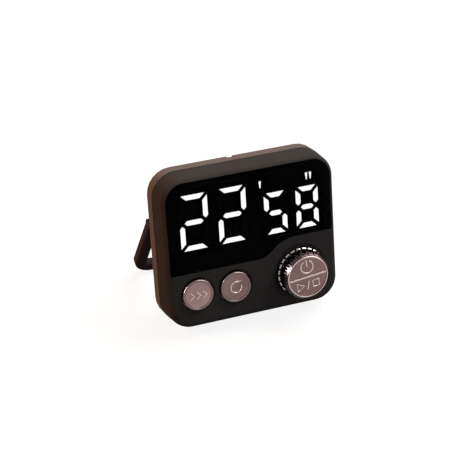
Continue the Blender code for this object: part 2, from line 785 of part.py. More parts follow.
def screw(name, x, z, profile, surface):
    """One screw with a cross in its head."""
    piece = turned(name, x, z, profile, steel(), SMALL_SIDES)
    for part, width, height in (("_bar", CROSS_LENGTH, CROSS_WIDTH), ("_post", CROSS_WIDTH, CROSS_LENGTH)):
        slot = centred_box(x, z, width, height)
        cut(piece, prism(name + part, slot, surface - CROSS_DEPTH, surface + OVERRUN, steel()))


def board_screws():
    seat = BOARD_BACK + CLEARANCE
    length = BOARD_THICKNESS + BOARD_SCREW_LENGTH - CLEARANCE
    profile = screw_profile(seat, BOARD_SCREW_RADIUS, BOARD_SCREW_HEAD, BOARD_SCREW_HEAD_HEIGHT, length)
    for number, (x, z) in enumerate(board_screw_places(), 1):
        screw("board_screw_%d" % number, x, z, profile, seat + BOARD_SCREW_HEAD_HEIGHT)


def buzzer():
    front = BOARD_BACK + CLEARANCE
    back = front + BUZZER_HEIGHT
    body = [(BUZZER_RADIUS, front), (BUZZER_RADIUS, back)]
    can = turned("buzzer", BUZZER_X, LOWER_STRIP_HEIGHT_UP, body, part_black(), MID_SIDES)
    port = [(BUZZER_PORT, back - BUZZER_PORT), (BUZZER_PORT, back + OVERRUN)]
    cut(can, turned("buzzer_port", BUZZER_X, LOWER_STRIP_HEIGHT_UP, port, part_black(), SMALL_SIDES))


# Buttons and switches

def push_button(name, x):
    """A round cap held behind the face by its flange, with a stem on its back."""
    flange = BUTTON_RADIUS + BUTTON_FLANGE
    back = BUTTON_SEAT + BUTTON_FLANGE_THICKNESS
    profile = [
        (BUTTON_RADIUS - BUTTON_EDGE - BUTTON_RIM - BUTTON_DISH, BUTTON_DISH - BUTTON_RISE),
        (BUTTON_RADIUS - BUTTON_EDGE - BUTTON_RIM, -BUTTON_RISE),
        (BUTTON_RADIUS - BUTTON_EDGE, -BUTTON_RISE),
        (BUTTON_RADIUS, BUTTON_EDGE - BUTTON_RISE),
        (BUTTON_RADIUS, BUTTON_SEAT),
        (flange, BUTTON_SEAT),
        (flange, back),
        (BUTTON_STEM_RADIUS, back),
        (BUTTON_STEM_RADIUS, BUTTON_STEM_END),
    ]
    return turned(name, x, BUTTON_HEIGHT_UP, profile, rose_metal())


def switch_plunger(name, x):
    profile = [(PLUNGER_RADIUS, PLUNGER_FRONT), (PLUNGER_RADIUS, PLUNGER_BACK)]
    return turned(name, x, BUTTON_HEIGHT_UP, profile, part_black(), SMALL_SIDES)


def switch_body(name, x):
    front = PARTS_FRONT - SWITCH_HEIGHT
    outline = centred_box(x, BUTTON_HEIGHT_UP, SWITCH_SIZE, SWITCH_SIZE)
    body = prism(name, outline, front, PARTS_FRONT, part_black())
    hole = PLUNGER_RADIUS + CLEARANCE
    bore = [(hole, front - OVERRUN), (hole, PARTS_FRONT - SWITCH_FLOOR)]
    cut(body, turned(name + "_bore", x, BUTTON_HEIGHT_UP, bore, part_black(), SMALL_SIDES))


# Knob and encoder

def grip_loop(radius, depth, groove=0.0, groove_depth=None):
    """A loop round the knob with three points to a tooth: both edges of its land, then a groove."""
    turn = math.tau / (3 * GRIP_TEETH)
    points = []
    for index in range(3 * GRIP_TEETH):
        angle = KNOB_TURN + (index - 0.5) * turn
        in_groove = index % 3 == 2
        reach = radius - groove if in_groove else radius
        place = groove_depth if in_groove and groove else depth
        points.append((KNOB_X + reach * math.cos(angle), place, KNOB_HEIGHT_UP + reach * math.sin(angle)))
    return points


def knob_ring():
    """The plain ring at the knob's foot."""
    top = -RING_FOOT - RING_HEIGHT
    profile = [
        (RING_RADIUS - RING_CHAMFER, top),
        (RING_RADIUS, top + RING_CHAMFER),
        (RING_RADIUS, -RING_FOOT),
    ]
    ring = turned("knob_ring", KNOB_X, KNOB_HEIGHT_UP, profile, dark_metal())
    inside = RING_RADIUS - RING_WALL
    bore = [(inside, top - OVERRUN), (inside, OVERRUN)]
    return cut(ring, turned("ring_bore", KNOB_X, KNOB_HEIGHT_UP, bore, dark_metal()))


def knob_cap():
    """The cap: a raised rim, a bar across its top, a sloping edge, and a toothed grip over a hub.

    The grooves of the grip run out into the sloping edge above and into the plain band below.
    """
    hub = RING_RADIUS - RING_WALL - CLEARANCE
    face = KNOB_RIM_RISE - KNOB_RISE
    inner_rim = KNOB_TOP_RADIUS - KNOB_EDGE - KNOB_RIM
    edge = KNOB_EDGE - KNOB_RISE
    slope = (-GRIP_TOP - edge) / (GRIP_RADIUS - KNOB_TOP_RADIUS)
    groove_top = -GRIP_TOP - slope * GROOVE_DEPTH
    groove_foot = -GRIP_FOOT - GROOVE_RUN_OUT
    mesh = bmesh.new()
    skin(mesh, [
        grip_loop(inner_rim - KNOB_EDGE, face),
        grip_loop(inner_rim, -KNOB_RISE),
        grip_loop(KNOB_TOP_RADIUS - KNOB_EDGE, -KNOB_RISE),
        grip_loop(KNOB_TOP_RADIUS, edge),
        grip_loop(GRIP_RADIUS, -GRIP_TOP, GROOVE_DEPTH, groove_top),
        grip_loop(GRIP_RADIUS, -GRIP_FOOT, GROOVE_DEPTH, groove_foot),
        grip_loop(GRIP_RADIUS, -GRIP_FOOT + KNOB_EDGE / 2),
        grip_loop(GRIP_RADIUS - KNOB_EDGE, -CAP_SHELF),
        grip_loop(hub, -CAP_SHELF),
        grip_loop(hub, -RING_FOOT),
    ])
    cap = mesh_piece("knob_cap", mesh, rose_metal())
    bar = turned_outline(centred_box(0.0, 0.0, 2 * inner_rim, DIVIDER_WIDTH), KNOB_TURN)
    bar = [(KNOB_X + x, KNOB_HEIGHT_UP + z) for x, z in bar]
    add(cap, prism("cap_divider", bar, -KNOB_RISE, face + KNOB_RIM_RISE, rose_metal()))
    hole = SHAFT_RADIUS + SLIDE_CLEARANCE
    bore = [(hole, -shaft_end() - CLEARANCE), (hole, OVERRUN)]
    cut(cap, turned("cap_bore", KNOB_X, KNOB_HEIGHT_UP, bore, rose_metal(), MID_SIDES))
    return cap


def shaft_end():
    """How far in front of the face the shaft ends, inside the cap."""
    return KNOB_RISE - SHAFT_END_INSIDE_KNOB


def encoder_shaft():
    profile = [(SHAFT_RADIUS, -shaft_end()), (SHAFT_RADIUS, SHAFT_DEPTH)]
    shaft = turned("encoder_shaft", KNOB_X, KNOB_HEIGHT_UP, profile, steel(), MID_SIDES)
    side = SHAFT_RADIUS + OVERRUN
    low = KNOB_HEIGHT_UP + SHAFT_RADIUS - SHAFT_FLAT
    flat = block("shaft_flat", KNOB_X - side, KNOB_X + side, -shaft_end() - OVERRUN, -RING_FOOT,
                 low, KNOB_HEIGHT_UP + side, steel())
    return cut(shaft, flat)


def encoder_plunger():
    radius = ENCODER_PLUNGER_RADIUS
    profile = [(radius, ENCODER_PLUNGER_FRONT), (radius, ENCODER_PLUNGER_BACK)]
    return turned("encoder_plunger", KNOB_X, KNOB_HEIGHT_UP, profile, part_black(), SMALL_SIDES)


def encoder_body():
    half = ENCODER_SIZE / 2
    front = PARTS_FRONT - ENCODER_HEIGHT
    body = block("encoder_body", KNOB_X - half, KNOB_X + half, front, PARTS_FRONT,
                 KNOB_HEIGHT_UP - half, KNOB_HEIGHT_UP + half, steel())
    neck = [(BUSHING_RADIUS, front - BUSHING_HEIGHT), (BUSHING_RADIUS, front + OVERRUN)]
    add(body, turned("encoder_neck", KNOB_X, KNOB_HEIGHT_UP, neck, steel(), MID_SIDES))
    hole = SHAFT_RADIUS + CLEARANCE
    bore = [(hole, front - BUSHING_HEIGHT - OVERRUN), (hole, PARTS_FRONT - ENCODER_FLOOR)]
    cut(body, turned("encoder_bore", KNOB_X, KNOB_HEIGHT_UP, bore, steel(), MID_SIDES))


# Rear case

def rim_angles():
    """Steps round the rear rim, where the leaning case stands on one flat facet."""
    facet_end = LEAN * 3 / 2
    steps = FILLET_STEPS - 2
    rest = (math.pi / 2 - facet_end) / steps
    return [LEAN / 2, facet_end] + [facet_end + rest * step for step in range(1, steps + 1)]


def rear_case():
    rim_edge = RIM_DEPTH - RIM_FILLET
    sections = [(case_outline(0.0), REAR_SEAM), (case_outline(0.0), rim_edge)]
    for angle in rim_angles():
        margin = RIM_FILLET * (1 - math.cos(angle))
        sections.append((case_outline(margin), rim_edge + RIM_FILLET * math.sin(angle)))
    shell = loft("rear_case", sections, rear_grey())
    pod_edge = BACK_DEPTH - BACK_FILLET
    pod = [(pod_outline(0.0), RIM_DEPTH - CASE_WALL / 2), (pod_outline(0.0), pod_edge)]
    for step in range(1, FILLET_STEPS):
        angle = math.pi / 2 * step / (FILLET_STEPS - 1)
        margin = BACK_FILLET * (1 - math.cos(angle))
        pod.append((pod_outline(margin), pod_edge + BACK_FILLET * math.sin(angle)))
    add(shell, loft("raised_back", pod, rear_grey()))
    hollow = case_outline(CASE_WALL)
    hollow_back = RIM_DEPTH - CASE_WALL
    cut(shell, prism("rear_hollow", hollow, REAR_SEAM - OVERRUN, hollow_back, rear_grey()))
    pod_hollow = pod_outline(BACK_WALL)
    pod_back = BACK_DEPTH - BACK_WALL
    cut(shell, prism("pod_hollow", pod_hollow, hollow_back - OVERRUN, pod_back, rear_grey()))
    add_battery_bay(shell)
    add_screw_posts(shell)
    cut_back_details(shell)
    return shell


def bay_block(name, grow, front, back):
    half = BAY_WIDTH / 2 + grow
    low = BAY_CENTRE_UP - BAY_HEIGHT / 2 - grow
    high = BAY_CENTRE_UP + BAY_HEIGHT / 2 + grow
    return block(name, -half, half, front, back, low, high, rear_grey())


def door_outline(grow=0.0):
    half = DOOR_WIDTH / 2 + grow
    high = DOOR_LOW + DOOR_HEIGHT + grow
    corner = DOOR_CORNER + grow
    return rounded_rectangle(-half, half, DOOR_LOW - grow, high, corner, CORNER_STEPS // 2)


def add_battery_bay(shell):
    """The open box for the batteries, with a sunk seat round its mouth for the door."""
    add(shell, bay_block("bay_box", BAY_WALL, BAY_FLOOR_DEPTH, BACK_DEPTH - BACK_WALL / 2))
    cut(shell, bay_block("bay_room", 0.0, BAY_INSIDE_DEPTH, BACK_DEPTH + OVERRUN))
    seat = door_outline(CLEARANCE)
    cut(shell, prism("door_seat", seat, DOOR_INNER - CLEARANCE, BACK_DEPTH + OVERRUN, rear_grey()))
    thumb_up = DOOR_LOW + DOOR_HEIGHT
    thumb = [(THUMB_RADIUS, BACK_DEPTH - THUMB_DEPTH), (THUMB_RADIUS, BACK_DEPTH + OVERRUN)]
    cut(shell, turned("thumb_notch", 0.0, thumb_up, thumb, rear_grey(), MID_SIDES))


def add_screw_posts(shell):
    head = CASE_SCREW_HEAD + CLEARANCE
    post_front = SEAM_DEPTH + SEAM_GAP
    post = [(head + POST_WALL, post_front), (head + POST_WALL, BACK_DEPTH - BACK_WALL / 2)]
    add(shell, turned_group("screw_posts", case_screw_places(), post, rear_grey()))
    bore = CASE_SCREW_RADIUS + CLEARANCE
    well = [
        (bore, post_front - OVERRUN),
        (bore, CASE_SCREW_SEAT),
        (head, CASE_SCREW_SEAT),
        (head, BACK_DEPTH + OVERRUN),
    ]
    cut(shell, turned_group("screw_wells", case_screw_places(), well, rear_grey()))


def cut_back_details(shell):
    """Hinge holes, magnet seats, sound holes, the switch's slot and the notch at the top."""
    pod_side = CASE_WIDTH / 2 - POD_MARGIN
    hole_radius = STAND_PIN_RADIUS + SLIDE_CLEARANCE
    for name, side in (("left_pin_hole", -1), ("right_pin_hole", 1)):
        inner = pod_side - STAND_PIN_LENGTH - CLEARANCE
        cut(shell, side_rod(name, side * inner, side * (pod_side + OVERRUN), hole_radius, rear_grey()))
    seat = [(MAGNET_RADIUS + CLEARANCE, BACK_DEPTH - MAGNET_THICKNESS - CLEARANCE / 2),
            (MAGNET_RADIUS + CLEARANCE, BACK_DEPTH + OVERRUN)]
    cut(shell, turned_group("magnet_seats", magnet_places(), seat, rear_grey(), MID_SIDES))
    centre = (BUZZER_X, LOWER_STRIP_HEIGHT_UP)
    holes = [centre] + circle(*centre, SOUND_HOLE_RING, SOUND_HOLES)
    inside = BACK_DEPTH - BACK_WALL - OVERRUN
    bore = [(SOUND_HOLE_RADIUS, inside), (SOUND_HOLE_RADIUS, BACK_DEPTH + OVERRUN)]
    cut(shell, turned_group("sound_holes", holes, bore, rear_grey(), SMALL_SIDES // 2))
    recess_half = VOLUME_GRIP_LENGTH / 2 + VOLUME_TRAVEL + CLEARANCE
    recess_up = VOLUME_GRIP_WIDTH / 2 + CLEARANCE
    recess_floor = BACK_DEPTH - VOLUME_RECESS
    cut(shell, volume_block("volume_recess", recess_half, recess_up, recess_floor, BACK_DEPTH + OVERRUN))
    slot_half = VOLUME_STEM_LENGTH / 2 + VOLUME_TRAVEL + CLEARANCE
    slot_up = VOLUME_STEM_WIDTH / 2 + CLEARANCE
    cut(shell, volume_block("volume_slot", slot_half, slot_up, inside, BACK_DEPTH))
    notch = [(NOTCH_RADIUS, RIM_DEPTH - NOTCH_LENGTH), (NOTCH_RADIUS, RIM_DEPTH + OVERRUN)]
    cut(shell, turned("hanging_notch", -NOTCH_OFFSET, CASE_HEIGHT, notch, rear_grey(), SMALL_SIDES))


def side_rod(name, start, end, radius, material):
    """A rod along X on the stand's hinge axis."""
    loops = []
    for x in (start, end):
        ring = circle(STAND_DEPTH, HINGE_UP, radius, SMALL_SIDES)
        loops.append([(x, y, z) for y, z in ring])
    mesh = bmesh.new()
    skin(mesh, loops)
    return mesh_piece(name, mesh, material)


def magnet_places():
    return [(side * MAGNET_PLACE, CASE_HEIGHT - MAGNET_EDGE) for side in (-1, 1)]


def magnets():
    front = BACK_DEPTH - MAGNET_THICKNESS
    profile = [(MAGNET_RADIUS, front + CLEARANCE / 2), (MAGNET_RADIUS, BACK_DEPTH)]
    for name, (x, z) in zip(("magnet_left", "magnet_right"), magnet_places()):
        turned(name, x, z, profile, steel(), MID_SIDES)


def case_screws():
    seat = CASE_SCREW_SEAT + CLEARANCE
    length = seat - LUG_FRONT - SCREW_TIP
    profile = screw_profile(seat, CASE_SCREW_RADIUS, CASE_SCREW_HEAD, CASE_SCREW_HEAD_HEIGHT, length)
    for number, (x, z) in enumerate(case_screw_places(), 1):
        screw("case_screw_%d" % number, x, z, profile, seat + CASE_SCREW_HEAD_HEIGHT)


# Volume switch

def volume_block(name, half_length, half_width, front, back, material=None):
    low = LOWER_STRIP_HEIGHT_UP - half_width
    high = LOWER_STRIP_HEIGHT_UP + half_width
    left = VOLUME_X - half_length
    right = VOLUME_X + half_length
    return block(name, left, right, front, back, low, high, material or rear_grey())


def volume_switch():
    back = BACK_DEPTH - BACK_WALL - CLEARANCE
    body = volume_block("volume_switch", VOLUME_BODY_LENGTH / 2, VOLUME_BODY_WIDTH / 2,
                        back - VOLUME_BODY_HEIGHT, back, part_black())
    track_half = VOLUME_STEM_LENGTH / 2 + VOLUME_TRAVEL + CLEARANCE
    track_up = VOLUME_STEM_WIDTH / 2 + CLEARANCE
    track_floor = back - VOLUME_STEM_REACH - CLEARANCE
    cut(body, volume_block("volume_track", track_half, track_up, track_floor, back + OVERRUN))


def volume_slider():
    grip_front = BACK_DEPTH - VOLUME_RECESS + SLIDE_CLEARANCE
    slider = volume_block("volume_slider", VOLUME_GRIP_LENGTH / 2, VOLUME_GRIP_WIDTH / 2,
                          grip_front, BACK_DEPTH, part_black())
    stem_front = BACK_DEPTH - BACK_WALL - CLEARANCE - VOLUME_STEM_REACH
    stem = volume_block("volume_stem", VOLUME_STEM_LENGTH / 2, VOLUME_STEM_WIDTH / 2,
                        stem_front, grip_front + SLIDE_CLEARANCE)
    return add(slider, stem)


# Batteries, contacts and door

def battery_sides():
    """Each battery's number, height up the case, and the side its nub points to."""
    rows = []
    for index in range(BATTERY_COUNT):
        up = BAY_CENTRE_UP + (index - (BATTERY_COUNT - 1) / 2) * BATTERY_PITCH
        rows.append((index + 1, up, 1 if index % 2 == 0 else -1))
    return rows


def battery_axis_depth():
    return BAY_INSIDE_DEPTH + CLEARANCE + BATTERY_RADIUS


def end_plate_x():
    """The inner face of a contact plate at the right end of the bay."""
    return BAY_WIDTH / 2 - CLEARANCE - PLATE_THICKNESS


def battery(number, up, side):
    """A cell along X, round about its own axis, with its nub at one end."""
    tip = end_plate_x() - CLEARANCE
    stations = [
        (BATTERY_NUB_RADIUS, tip),
        (BATTERY_NUB_RADIUS, tip - BATTERY_NUB),
        (BATTERY_RADIUS - BATTERY_EDGE, tip - BATTERY_NUB),
        (BATTERY_RADIUS, tip - BATTERY_NUB - BATTERY_EDGE),
        (BATTERY_RADIUS, tip - BATTERY_LENGTH + BATTERY_EDGE),
        (BATTERY_RADIUS - BATTERY_EDGE, tip - BATTERY_LENGTH),
    ]
    mesh = bmesh.new()
    loops = []
    for radius, x in stations:
        ring = circle(battery_axis_depth(), up, radius, MID_SIDES)
        loops.append([(side * x, y, z) for y, z in ring])
    skin(mesh, loops)
    return mesh_piece("battery_%d" % number, mesh, battery_skin())


def contact_plates():
    """Two single plates, and two that link one cell to the next, in series."""
    heights = [up for _, up, _ in battery_sides()]
    plates = {
        "positive_plate": (1, heights[:1]),
        "right_link_plate": (1, heights[1:]),
        "left_link_plate": (-1, heights[:2]),
        "negative_plate": (-1, heights[2:]),
    }
    half = PLATE_SIZE / 2
    depth = battery_axis_depth()
    for name, (side, ups) in plates.items():
        near = side * end_plate_x()
        far = side * (end_plate_x() + PLATE_THICKNESS)
        low = min(ups) - half
        high = max(ups) + half
        outline = [(depth - half, low), (depth + half, low), (depth + half, high), (depth - half, high)]
        mesh = bmesh.new()
        skin(mesh, [[(x, y, z) for y, z in outline] for x in (near, far)])
        mesh_piece(name, mesh, steel())


def contact_spring(number, up, nub_side):
    """A cone of wire between a cell's flat end and its plate."""
    name = "contact_spring_%d" % number
    wire = bpy.data.curves.new(name, "CURVE")
    wire.dimensions = "3D"
    wire.bevel_depth = SPRING_WIRE
    wire.bevel_resolution = 1
    wire.use_fill_caps = True
    reach = SPRING_LENGTH - 2 * SPRING_WIRE
    start = end_plate_x() - CLEARANCE - SPRING_WIRE
    count = SPRING_TURNS * SPRING_STEPS + 1
    spline = wire.splines.new("POLY")
    spline.points.add(count - 1)
    for step in range(count):
        done = step / (count - 1)
        angle = math.tau * SPRING_TURNS * done
        radius = SPRING_WIDE + (SPRING_NARROW - SPRING_WIDE) * done
        x = -nub_side * (start - reach * done)
        y = battery_axis_depth() + radius * math.cos(angle)
        z = up + radius * math.sin(angle)
        spline.points[step].co = (x, y, z, 1.0)
    wire.materials.append(steel())
    piece = bpy.data.objects.new(name, wire)
    bpy.context.collection.objects.link(piece)


def battery_door():
    door = prism("battery_door", door_outline(), DOOR_INNER, BACK_DEPTH, rear_grey())
    top = DOOR_LOW + DOOR_HEIGHT - THUMB_RADIUS - GRIP_PITCH
    ridges = [centred_box(0.0, top - index * GRIP_PITCH, GRIP_WIDTH, GRIP_HEIGHT)
              for index in range(GRIP_COUNT)]
    floor = BACK_DEPTH - GRIP_DEPTH
    return cut(door, prisms("door_grip", ridges, floor, BACK_DEPTH + OVERRUN, rear_grey()))


# Stand

def stand_outline(margin):
    """The folded stand from its hinge down round its lower bar, as an open-topped U."""
    outer = STAND_SIDE - margin
    inner = STAND_SIDE - STAND_BAR + margin
    low = STAND_LIFT + margin
    bar = STAND_LIFT + STAND_BAR - margin
    outer_corner = STAND_CORNER - margin
    inner_corner = STAND_CORNER - STAND_BAR + margin
    inner_up = bar + inner_corner
    outer_up = low + outer_corner
    quarter = math.pi / 2
    points = [(outer, HINGE_UP), (inner, HINGE_UP)]
    points += arc((inner - inner_corner, inner_up), inner_corner, 0.0, -quarter, CORNER_STEPS)
    points += arc((inner_corner - inner, inner_up), inner_corner, -quarter, -2 * quarter, CORNER_STEPS)
    points += [(-inner, HINGE_UP), (-outer, HINGE_UP)]
    points += arc((outer_corner - outer, outer_up), outer_corner, -2 * quarter, -quarter, CORNER_STEPS)
    points += arc((outer - outer_corner, outer_up), outer_corner, -quarter, 0.0, CORNER_STEPS)
    return points


def stand():
    front = STAND_DEPTH - STAND_THICKNESS / 2
    back = STAND_DEPTH + STAND_THICKNESS / 2
    sections = [
        (stand_outline(STAND_EDGE), front),
        (stand_outline(0.0), front + STAND_EDGE),
        (stand_outline(0.0), back - STAND_EDGE),
        (stand_outline(STAND_EDGE), back),
    ]
    frame = loft("stand", sections, rear_grey())
    inner = STAND_SIDE - STAND_BAR
    tip = inner - STAND_PIN_LENGTH
    root = inner + STAND_BAR / 2
    half = STAND_THICKNESS / 2
    for name, side in (("left", -1), ("right", 1)):
        add(frame, side_rod(name + "_eye", side * inner, side * STAND_SIDE, half, rear_grey()))
        add(frame, side_rod(name + "_pin", side * tip, side * root, STAND_PIN_RADIUS, rear_grey()))
    return frame


def floor_height():
    """How high the floor is in the leaning frame: the lowest facet of the rear rim."""
    centre_depth = RIM_DEPTH - RIM_FILLET
    centre_height = RIM_FILLET * math.cos(LEAN) - centre_depth * math.sin(LEAN)
    return centre_height - RIM_FILLET * math.cos(LEAN / 2)


def stand_opening():
    """The angle between folded and open at which the foot meets the floor."""
    half = STAND_THICKNESS / 2
    hinge_height = HINGE_UP * math.cos(LEAN) - STAND_DEPTH * math.sin(LEAN)
    drop = hinge_height - floor_height()
    reach = math.hypot(STAND_LENGTH, half - STAND_EDGE)
    foot = math.atan2(half - STAND_EDGE, STAND_LENGTH)
    return LEAN + foot + math.acos(drop / reach)


def rest_on_floor(tilt):
    """Moves the leaning case so that its box stands on the origin."""
    bpy.context.view_layer.update()
    graph = bpy.context.evaluated_depsgraph_get()
    corners = []
    for item in bpy.data.objects:
        if item.type not in {"MESH", "CURVE"} or item.hide_render:
            continue
        evaluated = item.evaluated_get(graph)
        shape = evaluated.to_mesh()
        corners += [evaluated.matrix_world @ vertex.co for vertex in shape.vertices]
        evaluated.to_mesh_clear()
    lows = [min(point[axis] for point in corners) for axis in range(3)]
    highs = [max(point[axis] for point in corners) for axis in range(3)]
    tilt.location.x -= (lows[0] + highs[0]) / 2
    tilt.location.y -= (lows[1] + highs[1]) / 2
    tilt.location.z -= lows[2]


def main():
    clear_scene()
    front_case()
    display_window()
    display()
    main_board()
    board_screws()
    buzzer()
    switch_body("quick_switch", QUICK_X)
    switch_body("reset_switch", RESET_X)
    encoder_body()
    rear_case()
    magnets()
    case_screws()
    volume_switch()
    for row in battery_sides():
        battery(*row)
        contact_spring(*row)
    contact_plates()

    moving = {
        "quick_axis": ((QUICK_X, 0.0, BUTTON_HEIGHT_UP),
                       [push_button("quick_button", QUICK_X), switch_plunger("quick_plunger", QUICK_X)]),
        "reset_axis": ((RESET_X, 0.0, BUTTON_HEIGHT_UP),
                       [push_button("reset_button", RESET_X), switch_plunger("reset_plunger", RESET_X)]),
        "knob_axis": ((KNOB_X, 0.0, KNOB_HEIGHT_UP),
                      [knob_ring(), knob_cap(), encoder_shaft(), encoder_plunger()]),
        "volume_axis": ((VOLUME_X, BACK_DEPTH, LOWER_STRIP_HEIGHT_UP), [volume_slider()]),
        "door_axis": ((0.0, BACK_DEPTH, DOOR_LOW), [battery_door()]),
        "stand_axis": ((0.0, STAND_DEPTH, HINGE_UP), [stand()]),
    }
    tilt = axis_empty("case_tilt", (0.0, 0.0, 0.0))
    tools = {}
    for item in list(bpy.data.objects):
        for step in item.modifiers:
            if step.type == "BOOLEAN":
                tools.setdefault(item.name, []).append(step.object)
    carried = set()
    for name, (place, pieces) in moving.items():
        axis = axis_empty(name, place, tilt)
        group = pieces + [tool for piece in pieces for tool in tools.get(piece.name, [])]
        carry(group, axis, place)
        carried.update(item.name for item in group)
        if name == "stand_axis":
            axis.rotation_euler.x = stand_opening()
    for item in list(bpy.data.objects):
        if item.type != "EMPTY" and item.name not in carried:
            item.parent = tilt
    tilt.rotation_euler.x = -LEAN
    rest_on_floor(tilt)


main()
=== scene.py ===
# %% Start
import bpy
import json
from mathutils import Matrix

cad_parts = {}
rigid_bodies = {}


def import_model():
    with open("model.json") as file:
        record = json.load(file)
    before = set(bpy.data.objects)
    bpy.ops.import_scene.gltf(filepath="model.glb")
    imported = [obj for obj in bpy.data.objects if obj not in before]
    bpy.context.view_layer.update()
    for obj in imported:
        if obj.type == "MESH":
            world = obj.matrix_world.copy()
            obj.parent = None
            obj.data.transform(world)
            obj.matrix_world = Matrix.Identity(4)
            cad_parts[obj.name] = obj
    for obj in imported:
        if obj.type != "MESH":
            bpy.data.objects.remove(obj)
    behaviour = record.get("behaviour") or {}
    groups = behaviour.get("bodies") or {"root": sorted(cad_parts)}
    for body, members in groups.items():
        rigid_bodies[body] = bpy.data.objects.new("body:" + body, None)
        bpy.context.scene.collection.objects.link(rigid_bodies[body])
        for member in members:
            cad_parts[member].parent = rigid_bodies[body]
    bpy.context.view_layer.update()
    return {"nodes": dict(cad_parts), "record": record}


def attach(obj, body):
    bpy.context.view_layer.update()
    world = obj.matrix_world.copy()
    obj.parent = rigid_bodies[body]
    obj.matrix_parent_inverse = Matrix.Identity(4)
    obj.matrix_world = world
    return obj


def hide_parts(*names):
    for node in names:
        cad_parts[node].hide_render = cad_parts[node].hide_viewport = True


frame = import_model()
print("solids", len(frame["nodes"]))

# %% [markdown]
# This file dresses a small digital kitchen timer. The solids are already made; here each piece
# gets the shape and the finish that an eye would check: moulded plastic, a smoked window with
# lit digits behind it, and satin metal buttons and knob.
# All lengths are in metres, and MM turns millimetres into them.

# %% Tools
import json
import math

import bmesh
import bpy
from mathutils import Matrix, Vector

MM = 0.001
print("a millimetre is", MM)

# %% [markdown]
# The case leans back on its stand by 18 degrees. It is easiest to model every piece as if the
# case stood upright, with X to the right, Y from the face to the back and Z up the case, and to
# lean the finished mesh. The frame says where the knob's axis is, and that fixes the rest.

# %% The leaning case
LEAN = math.radians(18.0)
CASE_WIDTH = 86.0 * MM
CASE_HEIGHT = 74.1 * MM
CASE_CORNER = 11.7 * MM
KNOB_X = 23.4 * MM
KNOB_UP = 18.05 * MM
joint_places = {joint["name"]: Vector(joint["pos_m"])
                for joint in frame["record"]["behaviour"]["joints"] if "pos_m" in joint}
LEAN_TURN = Matrix.Rotation(-LEAN, 4, "X")
LEAN_SHIFT = joint_places["knob_turn"] - LEAN_TURN @ Vector((KNOB_X, 0.0, KNOB_UP))
CASE_TO_WORLD = Matrix.Translation(LEAN_SHIFT) @ LEAN_TURN
print("case foot", [round(value, 4) for value in LEAN_SHIFT])

# %% [markdown]
# The photograph was taken with a long lens from above and to the left. Three turns in degrees and
# a place beside the case say where the camera stood.

# %% Camera
SENSOR_WIDTH_MM = 36.0
LENS_MM = 130.46
CLIP_START = 0.01
CLIP_END = 10.0
CAMERA_OFFSET = (-0.26723, -0.54693, 0.52248)
CAMERA_TURNS = (51.9157, -3.4573, -22.1024)
lens = bpy.data.cameras.new("camera")
lens.sensor_width = SENSOR_WIDTH_MM
lens.lens = LENS_MM
lens.clip_start = CLIP_START
lens.clip_end = CLIP_END
camera = bpy.data.objects.new("camera", lens)
camera.location = LEAN_SHIFT + Vector(CAMERA_OFFSET)
camera.rotation_euler = [math.radians(turn) for turn in CAMERA_TURNS]
bpy.context.scene.collection.objects.link(camera)
bpy.context.scene.camera = camera
print("lens", lens.lens)

# %% [markdown]
# A studio for a black object is mostly white walls that the object can reflect. The world gives
# a weak even light. To the camera, and in reflections, the background is plain white.

# %% World
EVEN_LIGHT = (0.90, 0.92, 0.95, 1.0)
EVEN_STRENGTH = 0.07
WALL_WHITE = (1.0, 1.0, 1.0, 1.0)
WALL_STRENGTH = 1.0
world = bpy.data.worlds.new("studio")
world.use_nodes = True
bpy.context.scene.world = world
bpy.context.scene.view_settings.view_transform = "Standard"
nodes = world.node_tree.nodes
links = world.node_tree.links
nodes.clear()
light_path = nodes.new("ShaderNodeLightPath")
even_light = nodes.new("ShaderNodeBackground")
even_light.inputs["Color"].default_value = EVEN_LIGHT
even_light.inputs["Strength"].default_value = EVEN_STRENGTH
white_wall = nodes.new("ShaderNodeBackground")
white_wall.inputs["Color"].default_value = WALL_WHITE
white_wall.inputs["Strength"].default_value = WALL_STRENGTH


def any_seen_ray(nodes, links, path):
    """1 for camera, glossy and transmission rays, and 0 for the rays that only bring light."""
    total = path.outputs["Is Camera Ray"]
    for label in ("Is Glossy Ray", "Is Transmission Ray"):
        larger = nodes.new("ShaderNodeMath")
        larger.operation = "MAXIMUM"
        links.new(total, larger.inputs[0])
        links.new(path.outputs[label], larger.inputs[1])
        total = larger.outputs[0]
    return total


choice = nodes.new("ShaderNodeMixShader")
links.new(any_seen_ray(nodes, links, light_path), choice.inputs[0])
links.new(even_light.outputs[0], choice.inputs[1])
links.new(white_wall.outputs[0], choice.inputs[2])
world_output = nodes.new("ShaderNodeOutputWorld")
links.new(choice.outputs[0], world_output.inputs["Surface"])
print("world", world.name)

# %% [markdown]
# The floor is a wide pale sheet. Light of its own, seen only by the camera and in reflections,
# lifts it to white. It is a little weaker near the object, so that the object's shadow stays on
# it as a soft grey, and full further out, where the lamps don't reach.

# %% Floor
FLOOR_SIZE = 6.0
FLOOR_GREY = (0.18, 0.18, 0.18, 1.0)
WEAK_WITHIN = 0.4
FULL_BEYOND = 2.0
WEAK_LIFT = 0.88
FULL_LIFT = 1.0


def new_material(name):
    """A material with an empty node tree but for its output."""
    made = bpy.data.materials.new(name)
    made.use_nodes = True
    made.node_tree.nodes.clear()
    output = made.node_tree.nodes.new("ShaderNodeOutputMaterial")
    return made, made.node_tree.nodes, made.node_tree.links, output


